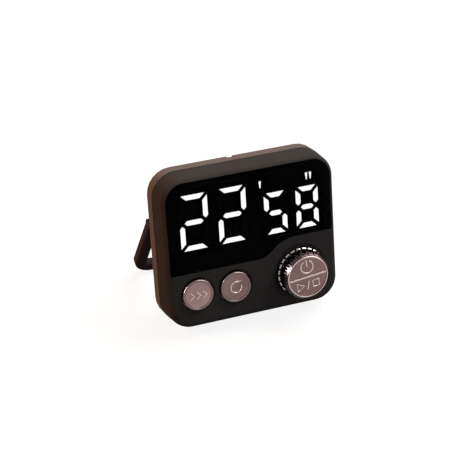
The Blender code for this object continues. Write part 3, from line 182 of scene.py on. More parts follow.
bpy.ops.object.select_all(action="DESELECT")
bpy.ops.mesh.primitive_plane_add(size=FLOOR_SIZE, location=(0.0, 0.0, 0.0))
floor = bpy.context.object
floor.name = "floor"
paint, nodes, links, output = new_material("pale_floor")
diffuse = nodes.new("ShaderNodeBsdfDiffuse")
diffuse.inputs["Color"].default_value = FLOOR_GREY
glow = nodes.new("ShaderNodeEmission")
path = nodes.new("ShaderNodeLightPath")
floor_place = nodes.new("ShaderNodeTexCoord")
distance = nodes.new("ShaderNodeVectorMath")
distance.operation = "LENGTH"
links.new(floor_place.outputs["Object"], distance.inputs[0])
level = nodes.new("ShaderNodeMapRange")
level.inputs["From Min"].default_value = WEAK_WITHIN
level.inputs["From Max"].default_value = FULL_BEYOND
level.inputs["To Min"].default_value = WEAK_LIFT
level.inputs["To Max"].default_value = FULL_LIFT
links.new(distance.outputs["Value"], level.inputs["Value"])
lift = nodes.new("ShaderNodeMath")
lift.operation = "MULTIPLY"
links.new(any_seen_ray(nodes, links, path), lift.inputs[0])
links.new(level.outputs["Result"], lift.inputs[1])
links.new(lift.outputs[0], glow.inputs["Strength"])
both = nodes.new("ShaderNodeAddShader")
links.new(diffuse.outputs[0], both.inputs[0])
links.new(glow.outputs[0], both.inputs[1])
links.new(both.outputs[0], output.inputs["Surface"])
floor.data.materials.append(paint)
print("floor", floor.dimensions.x, "wide")

# %% [markdown]
# Five soft lamps. The big one hangs above, a little behind and to the right, and lights the top
# of the case more than its face, which gets a weak fill from the front. A warm one at the left
# browns the side; on metal it would leave orange dots, so reflections don't show it. Two more show
# in reflections alone: a low one at the right lengthens the bright arcs along the tops of the
# rims, and a tall strip at the left gives the knob and the buttons their bright spots. These two
# reach only the pieces in one collection, the metal ones, or the case would glare from the side.

# %% Lamps
LAMP_AIM = Vector((0.0, 0.0, 0.04))
NEUTRAL = (1.0, 1.0, 1.0)
# Name, place, size, power, colour, whether it lights, and whether it is mirrored
LAMPS = [
    ("top_lamp", (0.62, 0.25, 1.05), (1.2, 0.8), 18.5, (1.0, 0.97, 0.95), True, True),
    ("fill_lamp", (0.50, -1.10, 0.50), (0.6, 0.6), 2.0, NEUTRAL, True, False),
    ("edge_lamp", (1.10, 0.30, 0.55), (0.8, 0.9), 15.0, NEUTRAL, False, True),
    ("side_lamp", (-0.80, 0.25, 0.50), (0.40, 0.40), 5.4, (1.0, 0.46, 0.19), True, False),
    ("strip_lamp", (-0.94, 0.17, 0.29), (0.18, 0.56), 18.0, (1.0, 0.94, 0.94), False, True),
]


def soft_lamp(name, place, size, power, colour, lights, mirrored):
    """A rectangular lamp that faces the object, and may light it, be mirrored in it, or both."""
    data = bpy.data.lights.new(name, "AREA")
    data.shape = "RECTANGLE"
    data.color = colour
    data.size, data.size_y = size
    data.energy = power
    lamp = bpy.data.objects.new(name, data)
    lamp.location = place
    aim = LAMP_AIM - Vector(place)
    lamp.rotation_euler = aim.to_track_quat("-Z", "Y").to_euler()
    lamp.visible_diffuse = lights
    lamp.visible_glossy = mirrored
    bpy.context.scene.collection.objects.link(lamp)
    return lamp


metal_pieces = bpy.data.collections.new("metal_pieces")
for row in LAMPS:
    lamp = soft_lamp(*row)
    if not lamp.visible_diffuse:
        lamp.light_linking.receiver_collection = metal_pieces
print("lamps", len(LAMPS))

# %% [markdown]
# Moulded plastic is never one flat colour. Two shader groups give each finish its own fine
# detail. The first is the grain that spark erosion leaves in a mould: a small cellular bump.
# The second is a slow drift, by which colour and gloss change over a few centimetres.

# %% Shader groups
GRAIN_DETAIL = 2.0
DRIFT_DETAIL = 3.0
NOISE_MIDDLE = 0.5


def new_group(name, inputs, outputs):
    """A shader group with the named number inputs and outputs."""
    group = bpy.data.node_groups.new(name, "ShaderNodeTree")
    for side, labels in (("INPUT", inputs), ("OUTPUT", outputs)):
        for label in labels:
            group.interface.new_socket(label, in_out=side, socket_type="NodeSocketFloat")
    return group, group.nodes.new("NodeGroupInput"), group.nodes.new("NodeGroupOutput")


def make_grain_group():
    """Height of a fine moulded or blasted grain, from 0 to 1."""
    group, entry, leave = new_group("fine_grain", ["Grains per metre"], ["Height"])
    place = group.nodes.new("ShaderNodeTexCoord")
    noise = group.nodes.new("ShaderNodeTexNoise")
    noise.inputs["Detail"].default_value = GRAIN_DETAIL
    group.links.new(place.outputs["Object"], noise.inputs["Vector"])
    group.links.new(entry.outputs["Grains per metre"], noise.inputs["Scale"])
    group.links.new(noise.outputs["Fac"], leave.inputs["Height"])
    return group


def make_drift_group():
    """A slow change over the piece, centred on 1, for colour and gloss."""
    group, entry, leave = new_group("slow_drift", ["Patches per metre", "Amount"], ["Factor"])
    place = group.nodes.new("ShaderNodeTexCoord")
    noise = group.nodes.new("ShaderNodeTexNoise")
    noise.inputs["Detail"].default_value = DRIFT_DETAIL
    spread = group.nodes.new("ShaderNodeMath")
    spread.operation = "SUBTRACT"
    spread.inputs[1].default_value = NOISE_MIDDLE
    scaled = group.nodes.new("ShaderNodeMath")
    scaled.operation = "MULTIPLY_ADD"
    scaled.inputs[2].default_value = 1.0
    group.links.new(place.outputs["Object"], noise.inputs["Vector"])
    group.links.new(entry.outputs["Patches per metre"], noise.inputs["Scale"])
    group.links.new(noise.outputs["Fac"], spread.inputs[0])
    group.links.new(spread.outputs[0], scaled.inputs[0])
    group.links.new(entry.outputs["Amount"], scaled.inputs[1])
    group.links.new(scaled.outputs[0], leave.inputs["Factor"])
    return group


grain_group = make_grain_group()
drift_group = make_drift_group()
print("groups", grain_group.name, drift_group.name)

# %% [markdown]
# Every finish is one Principled shader with the two groups round it: the drift scales the base
# colour and the roughness, and the grain feeds a Bump node. What changes from plastic to metal
# is only the numbers, so one helper makes them all. The edge colour is what a metal mirrors at a
# grazing angle, and a dark one keeps the plated grip dark all round.

# %% Finishes
GRAIN_DEPTH = 0.01 * MM


def drifting_colour(nodes, links, colour, patches, amount, socket):
    """Feeds a socket a colour that the drift varies, and gives the drift's factor."""
    slow = nodes.new("ShaderNodeGroup")
    slow.node_tree = drift_group
    slow.inputs["Patches per metre"].default_value = patches
    slow.inputs["Amount"].default_value = amount
    tint = nodes.new("ShaderNodeVectorMath")
    tint.operation = "SCALE"
    tint.inputs[0].default_value = colour
    links.new(slow.outputs["Factor"], tint.inputs["Scale"])
    links.new(tint.outputs["Vector"], socket)
    return slow.outputs["Factor"]


def drifting_gloss(nodes, links, roughness, factor, socket):
    """Feeds a socket a roughness that the drift's factor varies."""
    gloss = nodes.new("ShaderNodeMath")
    gloss.operation = "MULTIPLY"
    gloss.use_clamp = True
    gloss.inputs[0].default_value = roughness
    links.new(factor, gloss.inputs[1])
    links.new(gloss.outputs[0], socket)


def finish(name, colour, roughness, metallic=0.0, grains=5000.0, drift=0.25, patches=60.0,
           specular=0.5, edge=NEUTRAL):
    """A Principled material whose colour, gloss and surface vary as the real finish does."""
    made, nodes, links, output = new_material(name)
    shader = nodes.new("ShaderNodeBsdfPrincipled")
    shader.inputs["Metallic"].default_value = metallic
    shader.inputs["Specular IOR Level"].default_value = specular
    shader.inputs["Specular Tint"].default_value = (*edge, 1.0)
    links.new(shader.outputs[0], output.inputs["Surface"])
    factor = drifting_colour(nodes, links, colour, patches, drift, shader.inputs["Base Color"])
    drifting_gloss(nodes, links, roughness, factor, shader.inputs["Roughness"])
    grain = nodes.new("ShaderNodeGroup")
    grain.node_tree = grain_group
    grain.inputs["Grains per metre"].default_value = grains
    bump = nodes.new("ShaderNodeBump")
    bump.inputs["Distance"].default_value = GRAIN_DEPTH
    links.new(grain.outputs["Height"], bump.inputs["Height"])
    links.new(bump.outputs["Normal"], shader.inputs["Normal"])
    return made


PLATED = {"metallic": 1.0, "grains": 9000.0}
STAMPED = {"metallic": 1.0, "grains": 7000.0}
case_black = finish("case_black", (0.047, 0.0445, 0.0435), 0.62, specular=0.003)
rear_grey = finish("rear_grey", (0.146, 0.122, 0.112), 0.6, specular=0.01)
stand_black = finish("stand_black", (0.044, 0.031, 0.026), 0.5, specular=0.003)
inner_black = finish("inner_black", (0.012, 0.012, 0.012), 0.6, specular=0.2)
mask_black = finish("mask_black", (0.003, 0.003, 0.003), 0.7, specular=0.05)
rose_satin = finish("rose_satin", (0.27, 0.18, 0.178), 0.34, drift=0.7, patches=90.0, **PLATED)
# A darker copy of the satin finish: painted shade for the darker reflections of the reset field and the
# knob disc.
rose_deep = finish("rose_deep", (0.18, 0.112, 0.110), 0.3, drift=0.9, patches=90.0, **PLATED)
rose_bright = finish("rose_bright", (0.50, 0.40, 0.39), 0.16, drift=0.3, patches=300.0, **PLATED)
rim_metal = finish("rim_metal", (0.165, 0.120, 0.120), 0.14, drift=0.3, patches=200.0, **PLATED)
ring_metal = finish("ring_metal", (0.066, 0.048, 0.050), 0.16, drift=0.8, patches=900.0,
                    edge=(0.48, 0.46, 0.46), **PLATED)
collar_metal = finish("collar_metal", (0.33, 0.30, 0.30), 0.16, drift=0.6, patches=500.0, **PLATED)
nickel = finish("nickel", (0.30, 0.295, 0.29), 0.35, drift=0.3, **STAMPED)
board_green = finish("board_green", (0.015, 0.10, 0.045), 0.35)
steel = finish("steel", (0.60, 0.60, 0.59), 0.28, drift=0.2, **STAMPED)
cell_skin = finish("cell_skin", (0.03, 0.07, 0.20), 0.3, drift=0.1)
print("finishes", len(bpy.data.materials))

# %% [markdown]
# The window is smoked acrylic. It is clear enough for a bright lamp behind it and dark enough
# to hide everything else, so it is a transmitting shader with a dark colour. Its mirror
# reflection is kept faint, because an anti-glare coat takes most of it away.

# %% Smoked window
SMOKE = (0.10, 0.10, 0.105)
SMOKE_PATCHES = 40.0
SMOKE_DRIFT = 0.1
SMOKE_ROUGHNESS = 0.03
SMOKE_IOR = 1.25
FAINT_MIRROR = (0.02, 0.02, 0.022, 1.0)
smoked, nodes, links, output = new_material("smoked_window")
shader = nodes.new("ShaderNodeBsdfPrincipled")
shader.inputs["Transmission Weight"].default_value = 1.0
shader.inputs["Specular Tint"].default_value = FAINT_MIRROR
shader.inputs["IOR"].default_value = SMOKE_IOR
links.new(shader.outputs[0], output.inputs["Surface"])
factor = drifting_colour(nodes, links, SMOKE, SMOKE_PATCHES, SMOKE_DRIFT, shader.inputs["Base Color"])
drifting_gloss(nodes, links, SMOKE_ROUGHNESS, factor, shader.inputs["Roughness"])
print("window", smoked.name)

# %% [markdown]
# The digits are white light. Behind a window that lets through a tenth of the light, a bar has
# to shine about ten times as bright as paper to look white.

# %% Light
MILKY = (0.8, 0.8, 0.8, 1.0)
GLOW_STRENGTH = 10.5
GLOW_PATCHES = 300.0
GLOW_DRIFT = 0.1
lit_white, nodes, links, output = new_material("lit_white")
shader = nodes.new("ShaderNodeBsdfPrincipled")
shader.inputs["Base Color"].default_value = MILKY
shader.inputs["Emission Strength"].default_value = GLOW_STRENGTH
links.new(shader.outputs[0], output.inputs["Surface"])
drifting_colour(nodes, links, NEUTRAL, GLOW_PATCHES, GLOW_DRIFT, shader.inputs["Emission Color"])
# Milky plastic coloured near black instead of white: painted shade for the unlit lands inside the
# display.
unlit_white = finish("unlit_white", (0.03, 0.03, 0.03), 0.5)
print("light", lit_white.name)

# %% [markdown]
# Most new pieces start as a primitive and are shaped in edit mode. A few short helpers keep the
# steps readable: one chooses what to work on, one selects by place, one applies a modifier.
# An operator acts on everything selected, so each helper first lets go of all else. An edge
# that bends by less than a piece's angle, in degrees, shades smooth.

# %% Modelling helpers
NORMAL_WEIGHT = 60
PLAIN_SMOOTH = 35.0
GRIP_SMOOTH = 40.0
TURNED_SMOOTH = 50.0
ROUND_SMOOTH = 60.0


def take(piece):
    """Makes one object the only selected one."""
    bpy.ops.object.select_all(action="DESELECT")
    piece.select_set(True)
    bpy.context.view_layer.objects.active = piece


def select_where(piece, kind, test):
    """In edit mode, selects the edges or the faces that pass a test."""
    bpy.ops.mesh.select_all(action="DESELECT")
    bpy.ops.mesh.select_mode(type={"edges": "EDGE", "faces": "FACE"}[kind])
    mesh = bmesh.from_edit_mesh(piece.data)
    for item in getattr(mesh, kind):
        if test(item):
            item.select_set(True)
    mesh.select_flush_mode()
    bmesh.update_edit_mesh(piece.data)


def apply_step(piece, kind, **settings):
    """Adds one modifier with its settings and applies it."""
    take(piece)
    step = piece.modifiers.new("step", kind)
    for label, value in settings.items():
        setattr(step, label, value)
    bpy.ops.object.modifier_apply(modifier=step.name)


def combine(piece, tool, operation):
    """A Boolean with a tool that is then thrown away."""
    apply_step(piece, "BOOLEAN", operation=operation, solver="EXACT", object=tool)
    bpy.data.objects.remove(tool)


def dress(piece, material, body, smooth=PLAIN_SMOOTH):
    """Smooths a piece, and gives it a finish and a body."""
    take(piece)
    bpy.ops.object.shade_smooth_by_angle(angle=math.radians(smooth))
    apply_step(piece, "WEIGHTED_NORMAL", keep_sharp=True, weight=NORMAL_WEIGHT)
    piece.data.materials.clear()
    piece.data.materials.append(material)
    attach(piece, body)
    print(piece.name, len(piece.data.polygons), "faces")


def settle(piece, material, body, smooth=PLAIN_SMOOTH):
    """Leans an upright piece with the case, and dresses it."""
    bpy.context.view_layer.update()
    take(piece)
    piece.matrix_world = CASE_TO_WORLD @ piece.matrix_world
    bpy.ops.object.transform_apply(location=True, rotation=True, scale=True)
    dress(piece, material, body, smooth)


print("helpers ready")

# %% [markdown]
# Buttons, knob and rims are turned pieces. Half their section is drawn point by point, from
# one vertex, and spun round the axis. A cylinder could be used instead, but its rim would be a
# hard edge, and on polished metal the rim is what the eye sees.

# %% Turned pieces
MERGE_GAP = 0.001 * MM


def one_vertex(name, place):
    """A new piece of one vertex, left selected in edit mode to be drawn on from."""
    bpy.ops.object.select_all(action="DESELECT")
    bpy.ops.mesh.primitive_plane_add(size=MM, location=place)
    piece = bpy.context.object
    piece.name = name
    bpy.ops.object.mode_set(mode="EDIT")
    bpy.ops.mesh.select_mode(type="VERT")
    bpy.ops.mesh.select_all(action="SELECT")
    bpy.ops.mesh.merge(type="CENTER")
    return piece


def draw_on(move):
    """In edit mode, extrudes the selected vertex by a move."""
    bpy.ops.mesh.extrude_vertices_move(TRANSFORM_OT_translate={"value": move})


def merge_doubles():
    """In edit mode, merges the vertices that lie on one another."""
    bpy.ops.mesh.select_all(action="SELECT")
    bpy.ops.mesh.remove_doubles(threshold=MERGE_GAP)


def face_outwards():
    """In edit mode, turns every face outwards."""
    bpy.ops.mesh.select_all(action="SELECT")
    bpy.ops.mesh.normals_make_consistent(inside=False)


def turned_piece(name, profile, x, z, sides=96):
    """Spins (radius, depth) points, a line from axis to axis or a closed section, round Y."""
    piece = one_vertex(name, (x + profile[0][0], profile[0][1], z))
    for (radius, depth), (next_radius, next_depth) in zip(profile, profile[1:]):
        draw_on((next_radius - radius, next_depth - depth, 0.0))
    bpy.ops.mesh.select_all(action="SELECT")
    bpy.ops.mesh.spin(steps=sides, angle=math.tau, center=(x, 0.0, z), axis=(0.0, 1.0, 0.0))
    merge_doubles()
    face_outwards()
    bpy.ops.object.mode_set(mode="OBJECT")
    return piece


def arc_points(centre, radius, start, end, steps):
    """Points of an arc in a plane, angles in degrees from right towards up."""
    points = []
    for step in range(steps + 1):
        angle = math.radians(start + (end - start) * step / steps)
        points.append((centre[0] + radius * math.cos(angle), centre[1] + radius * math.sin(angle)))
    return points


print("turned pieces ready")

# %% [markdown]
# Plates with a free outline start as flat curves with a thickness. A curve keeps a long outline
# easy to write, and one object can hold many of them. It is made a mesh before it is leaned.

# %% Flat plates
def add_line(curve, points, closed):
    """Adds straight strokes through (x, y, z) points to a curve."""
    spline = curve.splines.new("POLY")
    spline.points.add(len(points) - 1)
    spline.use_cyclic_u = closed
    for point, place in zip(spline.points, points):
        point.co = (*place, 1.0)


def made_mesh(name, curve, depth=0.0, turn=0.0):
    """A piece made of a curve at a depth, turned about X, and converted to a mesh."""
    piece = bpy.data.objects.new(name, curve)
    piece.rotation_euler.x = turn
    piece.location.y = depth
    bpy.context.scene.collection.objects.link(piece)
    take(piece)
    bpy.ops.object.convert(target="MESH")
    return bpy.context.object


def flat_plates(name, outlines, front, back):
    """Plates with these (x, z) outlines between two depths, in one mesh."""
    curve = bpy.data.curves.new(name, "CURVE")
    curve.dimensions = "2D"
    curve.fill_mode = "BOTH"
    curve.extrude = (back - front) / 2
    for points in outlines:
        add_line(curve, [(x, z, 0.0) for x, z in points], True)
    piece = made_mesh(name, curve, (front + back) / 2, math.pi / 2)
    bpy.ops.object.mode_set(mode="EDIT")
    merge_doubles()
    face_outwards()
    bpy.ops.object.mode_set(mode="OBJECT")
    return piece


print("flat plates ready")

# %% [markdown]
# The case's front half starts as a flat face with round corners. An inset that also moves draws
# the outline in and forward at once, so a few of them make a drafted wall and a round edge. A
# bevelled box would do too, but its corners and edges would share a radius.

# %% Shell helpers
CORNER_STEPS = 16


def rounded_face(name, left, right, low, high, corner, depth):
    """A flat face with round corners that looks to the viewer, left selected in edit mode."""
    bpy.ops.object.select_all(action="DESELECT")
    centre = ((left + right) / 2, depth, (low + high) / 2)
    bpy.ops.mesh.primitive_plane_add(size=1.0, location=centre, rotation=(math.pi / 2, 0.0, 0.0))
    piece = bpy.context.object
    piece.name = name
    piece.scale = (right - left, high - low, 1.0)
    bpy.ops.object.transform_apply(location=True, rotation=True, scale=True)
    bpy.ops.object.mode_set(mode="EDIT")
    bpy.ops.mesh.select_all(action="SELECT")
    bpy.ops.mesh.bevel(affect="VERTICES", offset=corner, segments=CORNER_STEPS)
    bpy.ops.mesh.select_mode(type="FACE")
    bpy.ops.mesh.select_all(action="SELECT")
    return piece


def push(distance):
    """In edit mode, extrudes the selected faces along Y."""
    bpy.ops.mesh.extrude_region_move(TRANSFORM_OT_translate={"value": (0.0, distance, 0.0)})


def round_edge(radius, steps=8):
    """In edit mode, rounds the edge in front of the selected face by insets that also move it."""
    for step in range(steps):
        start, end = (math.pi / 2 * value / steps for value in (step, step + 1))
        bpy.ops.mesh.inset(thickness=radius * (math.cos(start) - math.cos(end)),
                           depth=radius * (math.sin(end) - math.sin(start)))


def rounded_plate(name, left, right, low, high, corner, front, back):
    """A plate with round corners between two depths."""
    piece = rounded_face(name, left, right, low, high, corner, back)
    push(front - back)
    face_outwards()
    bpy.ops.object.mode_set(mode="OBJECT")
    return piece


def soften(piece, width, segments=2, sharp=32.0):
    """Rounds every sharp edge a little."""
    apply_step(piece, "BEVEL", width=width, segments=segments, limit_method="ANGLE",
               angle_limit=math.radians(sharp))


print("shell helpers ready")

# %% [markdown]
# The front half: from the seam a straight lip, then a wall with a draft so that it leaves its
# mould, then a round front edge. A thin tongue reaches from it into the rear half and closes the
# seam, and the inside is pushed in from the tongue. The outer edge of the seam is rounded more
# than the rest, which makes the thin dark line between the two halves.

# %% Front half
SEAM = 12.5 * MM
SEAM_LIP = 0.6 * MM
SEAM_EDGE = 0.25 * MM
DRAFT = 0.5 * MM
FRONT_EDGE = 3.0 * MM
FACE_WALL = 2.0 * MM
TONGUE_MARGIN = 2.1 * MM
TONGUE_WALL = 0.5 * MM
TONGUE_LENGTH = 2.0 * MM
PAST = 1.0 * MM
PLANE_GAP = 0.01 * MM
FACING = 0.99


def front_form(name):
    """The outer form of the front half, left in edit mode."""
    half = CASE_WIDTH / 2
    piece = rounded_face(name, -half, half, 0.0, CASE_HEIGHT, CASE_CORNER, SEAM)
    push(-SEAM_LIP)
    bpy.ops.mesh.inset(thickness=DRAFT, depth=SEAM - SEAM_LIP - FRONT_EDGE)
    round_edge(FRONT_EDGE)
    face_outwards()
    return piece


def on_seam(edge):
    """Says whether an edge lies in the plane of the seam."""
    return all(vertex.co.y > SEAM - PLANE_GAP for vertex in edge.verts)


front_shell = front_form("front_shell")
select_where(front_shell, "edges", on_seam)
bpy.ops.mesh.bevel(offset=SEAM_EDGE, segments=3, affect="EDGES")
select_where(front_shell, "faces", lambda face: face.normal.y > FACING)
bpy.ops.mesh.inset(thickness=TONGUE_MARGIN - SEAM_EDGE)
push(TONGUE_LENGTH)
bpy.ops.mesh.inset(thickness=TONGUE_WALL)
push(FACE_WALL - SEAM - TONGUE_LENGTH)
bpy.ops.object.mode_set(mode="OBJECT")
print("front form", len(front_shell.data.polygons), "faces")

# %% [markdown]
# The window's outline follows the case's corners above. Below, its edge steps up over the knob
# in an S of two arcs, a small one that opens upwards and a large one round the knob. Written as
# arcs, it can be drawn a little larger for the pocket that it sits in.

# %% Window outline
WINDOW_MARGIN = 2.3 * MM
WINDOW_CORNER = 9.1 * MM
WINDOW_LOW = 28.05 * MM
WINDOW_STEP = 36.05 * MM
STEP_BLEND = 10.0 * MM
STEP_RADIUS = 18.0 * MM
STEP_OFFSET = 1.2 * MM
BLEND_STEPS = 12
OVER_STEPS = 20


def window_outline(grow=0.0):
    """The window's (x, z) outline, counterclockwise, drawn larger by a margin."""
    side = CASE_WIDTH / 2 - WINDOW_MARGIN + grow
    high = CASE_HEIGHT - WINDOW_MARGIN + grow
    corner = WINDOW_CORNER + grow
    low, step_up = WINDOW_LOW - grow, WINDOW_STEP - grow
    under, over = STEP_BLEND + grow, STEP_RADIUS - grow
    over_x, over_z = KNOB_X - STEP_OFFSET, step_up - over
    rise = low + under - over_z
    reach = math.sqrt((over + under) ** 2 - rise ** 2)
    lean = math.degrees(math.atan2(rise, reach))
    points = [(side, step_up)]
    points += arc_points((side - corner, high - corner), corner, 0.0, 90.0, CORNER_STEPS)
    points += arc_points((corner - side, high - corner), corner, 90.0, 180.0, CORNER_STEPS)
    points += [(-side, low)]
    points += arc_points((over_x - reach, low + under), under, -90.0, -lean, BLEND_STEPS)
    points += arc_points((over_x, over_z), over, 180.0 - lean, 90.0, OVER_STEPS)[1:]
    return points


print("window outline", len(window_outline()), "points")

# %% [markdown]
# Everything that goes through the face is cut with simple tools: a pocket for the window, the
# opening for the display, a hole with a sloping mouth for each button, and a shallow dish that
# the knob stands in. A last small bevel takes the sharpness off the cut edges.

# %% Cuts in the face
BUTTON_UP = 16.95 * MM
QUICK_X = -28.4 * MM
RESET_X = -9.7 * MM
POCKET_DEPTH = 1.0 * MM
POCKET_GAP = 0.2 * MM
OPENING_SIDES = (-37.2 * MM, 37.3 * MM, 37.0 * MM, 68.5 * MM)
OPENING_CORNER = 1.3 * MM
HOLE_MOUTH = 9.7 * MM
HOLE_RADIUS = 7.9 * MM
DISH_MOUTH = 15.1 * MM
DISH_RADIUS = 12.4 * MM
DISH_BORE = 4.2 * MM
MOUTH_DEPTH = 0.8 * MM
HOLE_END = 3.0 * MM
CUT_EDGE = 0.12 * MM
pocket = flat_plates("pocket", [window_outline(POCKET_GAP)], -PAST, POCKET_DEPTH)
combine(front_shell, pocket, "DIFFERENCE")
opening = rounded_plate("opening", *OPENING_SIDES, OPENING_CORNER, -PAST, FACE_WALL + PAST)
combine(front_shell, opening, "DIFFERENCE")
button_hole = [(0.0, -PAST), (HOLE_MOUTH, -PAST), (HOLE_RADIUS, MOUTH_DEPTH),
               (HOLE_RADIUS, HOLE_END), (0.0, HOLE_END)]
for x in (QUICK_X, RESET_X):
    combine(front_shell, turned_piece("hole", button_hole, x, BUTTON_UP), "DIFFERENCE")
knob_dish = [(0.0, -PAST), (DISH_MOUTH, -PAST), (DISH_RADIUS, MOUTH_DEPTH), (DISH_BORE, MOUTH_DEPTH),
             (DISH_BORE, HOLE_END), (0.0, HOLE_END)]
combine(front_shell, turned_piece("dish", knob_dish, KNOB_X, KNOB_UP), "DIFFERENCE")
soften(front_shell, CUT_EDGE)
settle(front_shell, case_black, "case")
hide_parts("front_case")

# %% [markdown]
# The window is a thin plate that fills the pocket. Its edge runs into the case's round front
# edge, where a plain plate would stand proud, so it is what the case's own form and the outline
# have in common.

# %% Window
PLATE_BACK = 0.8 * MM
PLATE_EDGE = 0.1 * MM
window_plate = front_form("window_plate")
bpy.ops.object.mode_set(mode="OBJECT")
combine(window_plate, flat_plates("prism", [window_outline()], -PAST, PLATE_BACK), "INTERSECT")
soften(window_plate, PLATE_EDGE)
settle(window_plate, smoked, "case")
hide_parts("display_window")

# %% [markdown]
# The rear half holds the battery bay, screw posts, magnets' seats and hinge holes. Its solid
# already has those at their true size, so it isn't modelled again. A copy has its loose
# triangles merged and its flat faces joined, and then a bevel rounds every edge, as in a mould.
# The battery door, the stand and the volume slider are made the same way.

# %% Rear half and other softened solids
FLAT_ANGLE = 0.5
MOULD_EDGE = 0.2 * MM
SMALL_EDGE = 0.15 * MM
STAND_EDGE = 0.35 * MM


def softened_copy(node, name, width, segments):
    """A copy of a solid with its doubles merged and its edges rounded."""
    piece = bpy.data.objects.new(name, frame["nodes"][node].data.copy())
    bpy.context.scene.collection.objects.link(piece)
    take(piece)
    bpy.ops.object.mode_set(mode="EDIT")
    merge_doubles()
    bpy.ops.mesh.dissolve_limited(angle_limit=math.radians(FLAT_ANGLE))
    bpy.ops.object.mode_set(mode="OBJECT")
    soften(piece, width, segments)
    return piece


# Solid, new name, width and steps of the edge, finish, body, slot
SOFTENED = [
    ("rear_case", "rear_shell", MOULD_EDGE, 2, rear_grey, "case", "rear_grey"),
    ("battery_door", "door_panel", SMALL_EDGE, 2, rear_grey, "battery_door", "rear_grey"),
    ("stand", "stand_frame", STAND_EDGE, 3, stand_black, "stand", "rear_grey"),
    ("volume_slider", "slider_grip", SMALL_EDGE, 2, inner_black, "volume_slider", "part_black"),
]
for node, name, width, segments, material, body, slot in SOFTENED:
    softened = softened_copy(node, name, width, segments)
    dress(softened, material, body)
    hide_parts(node)

# %% [markdown]
# Each push button is a low metal cap whose satin field is sunk inside a polished round rim. It
# stands in a slightly wider hole, and a flange behind the face keeps it from falling out. Field
# and rim differ in finish, so the rim is a ring of its own, turned from a closed section.

# %% Push buttons
BUTTON_RADIUS = 7.6 * MM
BUTTON_RISE = 1.2 * MM
FIELD_DEPTH = -0.85 * MM
FIELD_RADIUS = 6.35 * MM
RIM_FOOT = -0.1 * MM
RIM_CROWN = 0.85 * MM
RING_FIT = 0.05 * MM


def cap_profile():
    """The field, the step that carries the rim, the side, the flange and the stem."""
    flange, stem = 8.6 * MM, 1.8 * MM
    side_end, flange_end, stem_end = 2.3 * MM, 3.1 * MM, 4.0 * MM
    return [(0.0, FIELD_DEPTH), (FIELD_RADIUS - RING_FIT, FIELD_DEPTH),
            (FIELD_RADIUS - RING_FIT, RIM_FOOT + RING_FIT), (BUTTON_RADIUS, RIM_FOOT + RING_FIT),
            (BUTTON_RADIUS, side_end), (flange, side_end), (flange, flange_end),
            (stem, flange_end), (stem, stem_end), (0.0, stem_end)]


def rim_profile(inside, outside, top, foot, crown, steps=8):
    """A closed section: an upright inner wall, a round top and an upright outer wall."""
    inner_crown = crown / 3
    points = [(inside, foot)]
    points += [(radius, -depth) for radius, depth in
               arc_points((inside + inner_crown, -top - inner_crown), inner_crown, 180.0, 90.0,
                          steps // 2)]
    points += [(radius, -depth) for radius, depth in
               arc_points((outside - crown, -top - crown), crown, 90.0, 0.0, steps)]
    return points + [(outside, foot), (inside, foot)]


rim_section = rim_profile(FIELD_RADIUS, BUTTON_RADIUS, -BUTTON_RISE, RIM_FOOT, RIM_CROWN)
# The reset field wears the darker copy of the satin finish, painted shade for its darker reflection.
for name, x, field in (("quick", QUICK_X, rose_satin), ("reset", RESET_X, rose_deep)):
    cap = turned_piece(name + "_cap", cap_profile(), x, BUTTON_UP)
    settle(cap, field, name + "_button", smooth=TURNED_SMOOTH)
    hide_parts(name + "_button")
    rim = turned_piece(name + "_rim", rim_section, x, BUTTON_UP)
    settle(rim, rim_metal, name + "_button", smooth=ROUND_SMOOTH)

# %% [markdown]
# The marks on the metal are raised strokes with a round top. Each is a curve with a thickness,
# sunk to about half in the surface, and made a mesh. The quick button has three arrow heads for
# a faster count, and the reset button has an arrow that turns back.

# %% Raised marks
def raised_strokes(name, lines, surface, width, turn=0.0, about=(0.0, 0.0)):
    """Round strokes along (x, z) lines, each open or closed, on a surface at a depth."""
    curve = bpy.data.curves.new(name, "CURVE")
    curve.dimensions = "3D"
    curve.bevel_depth = width / 2
    curve.bevel_resolution = 3
    curve.use_fill_caps = True
    across, rise = math.cos(turn), math.sin(turn)
    for points, closed in lines:
        places = [(about[0] + x * across - z * rise, surface, about[1] + x * rise + z * across)
                  for x, z in points]
        add_line(curve, places, closed)
    return made_mesh(name, curve)


MARK_WIDTH = 0.75 * MM
HEAD_PITCH = 3.1 * MM
HEAD_HALF = 1.8 * MM
HEAD_REACH = 2.0 * MM
ARROW_RADIUS = 2.7 * MM
ARROW_FROM = 70.0
ARROW_TO = 380.0
ARROW_STEPS = 28
BARBS = [(-0.2 * MM, 1.3 * MM), (0.0, 0.0), (1.5 * MM, 0.35 * MM)]


def arrow_head(x):
    """Three points of an open arrow head that points right."""
    return [(x - HEAD_REACH / 2, HEAD_HALF), (x + HEAD_REACH / 2, 0.0), (x - HEAD_REACH / 2, -HEAD_HALF)]


quick_lines = [(arrow_head(step * HEAD_PITCH), False) for step in (-1, 0, 1)]
quick_mark = raised_strokes("quick_mark", quick_lines, FIELD_DEPTH, MARK_WIDTH,
                            about=(QUICK_X, BUTTON_UP))
settle(quick_mark, rose_bright, "quick_button", smooth=ROUND_SMOOTH)
tail = arc_points((0.0, 0.0), ARROW_RADIUS, ARROW_FROM, ARROW_TO, ARROW_STEPS)
head = [(tail[0][0] + x, tail[0][1] + z) for x, z in BARBS]
reset_mark = raised_strokes("reset_mark", [(tail, False), (head, False)], FIELD_DEPTH, MARK_WIDTH,
                            about=(RESET_X, BUTTON_UP))
settle(reset_mark, rose_bright, "reset_button", smooth=ROUND_SMOOTH)

# %% [markdown]
# The knob is a dark plated body with a toothed grip, a satin disc let into its top, and a thin
# bright rim round the disc. The grooves between the teeth run out into the sloping edge above and
# end in a short ramp below. Under the grip the body steps in, which leaves a dark line above the
# collar. One groove cutter is modelled as a three-sided bar, copied round the axis with a spin,
# and taken away from the turned body.

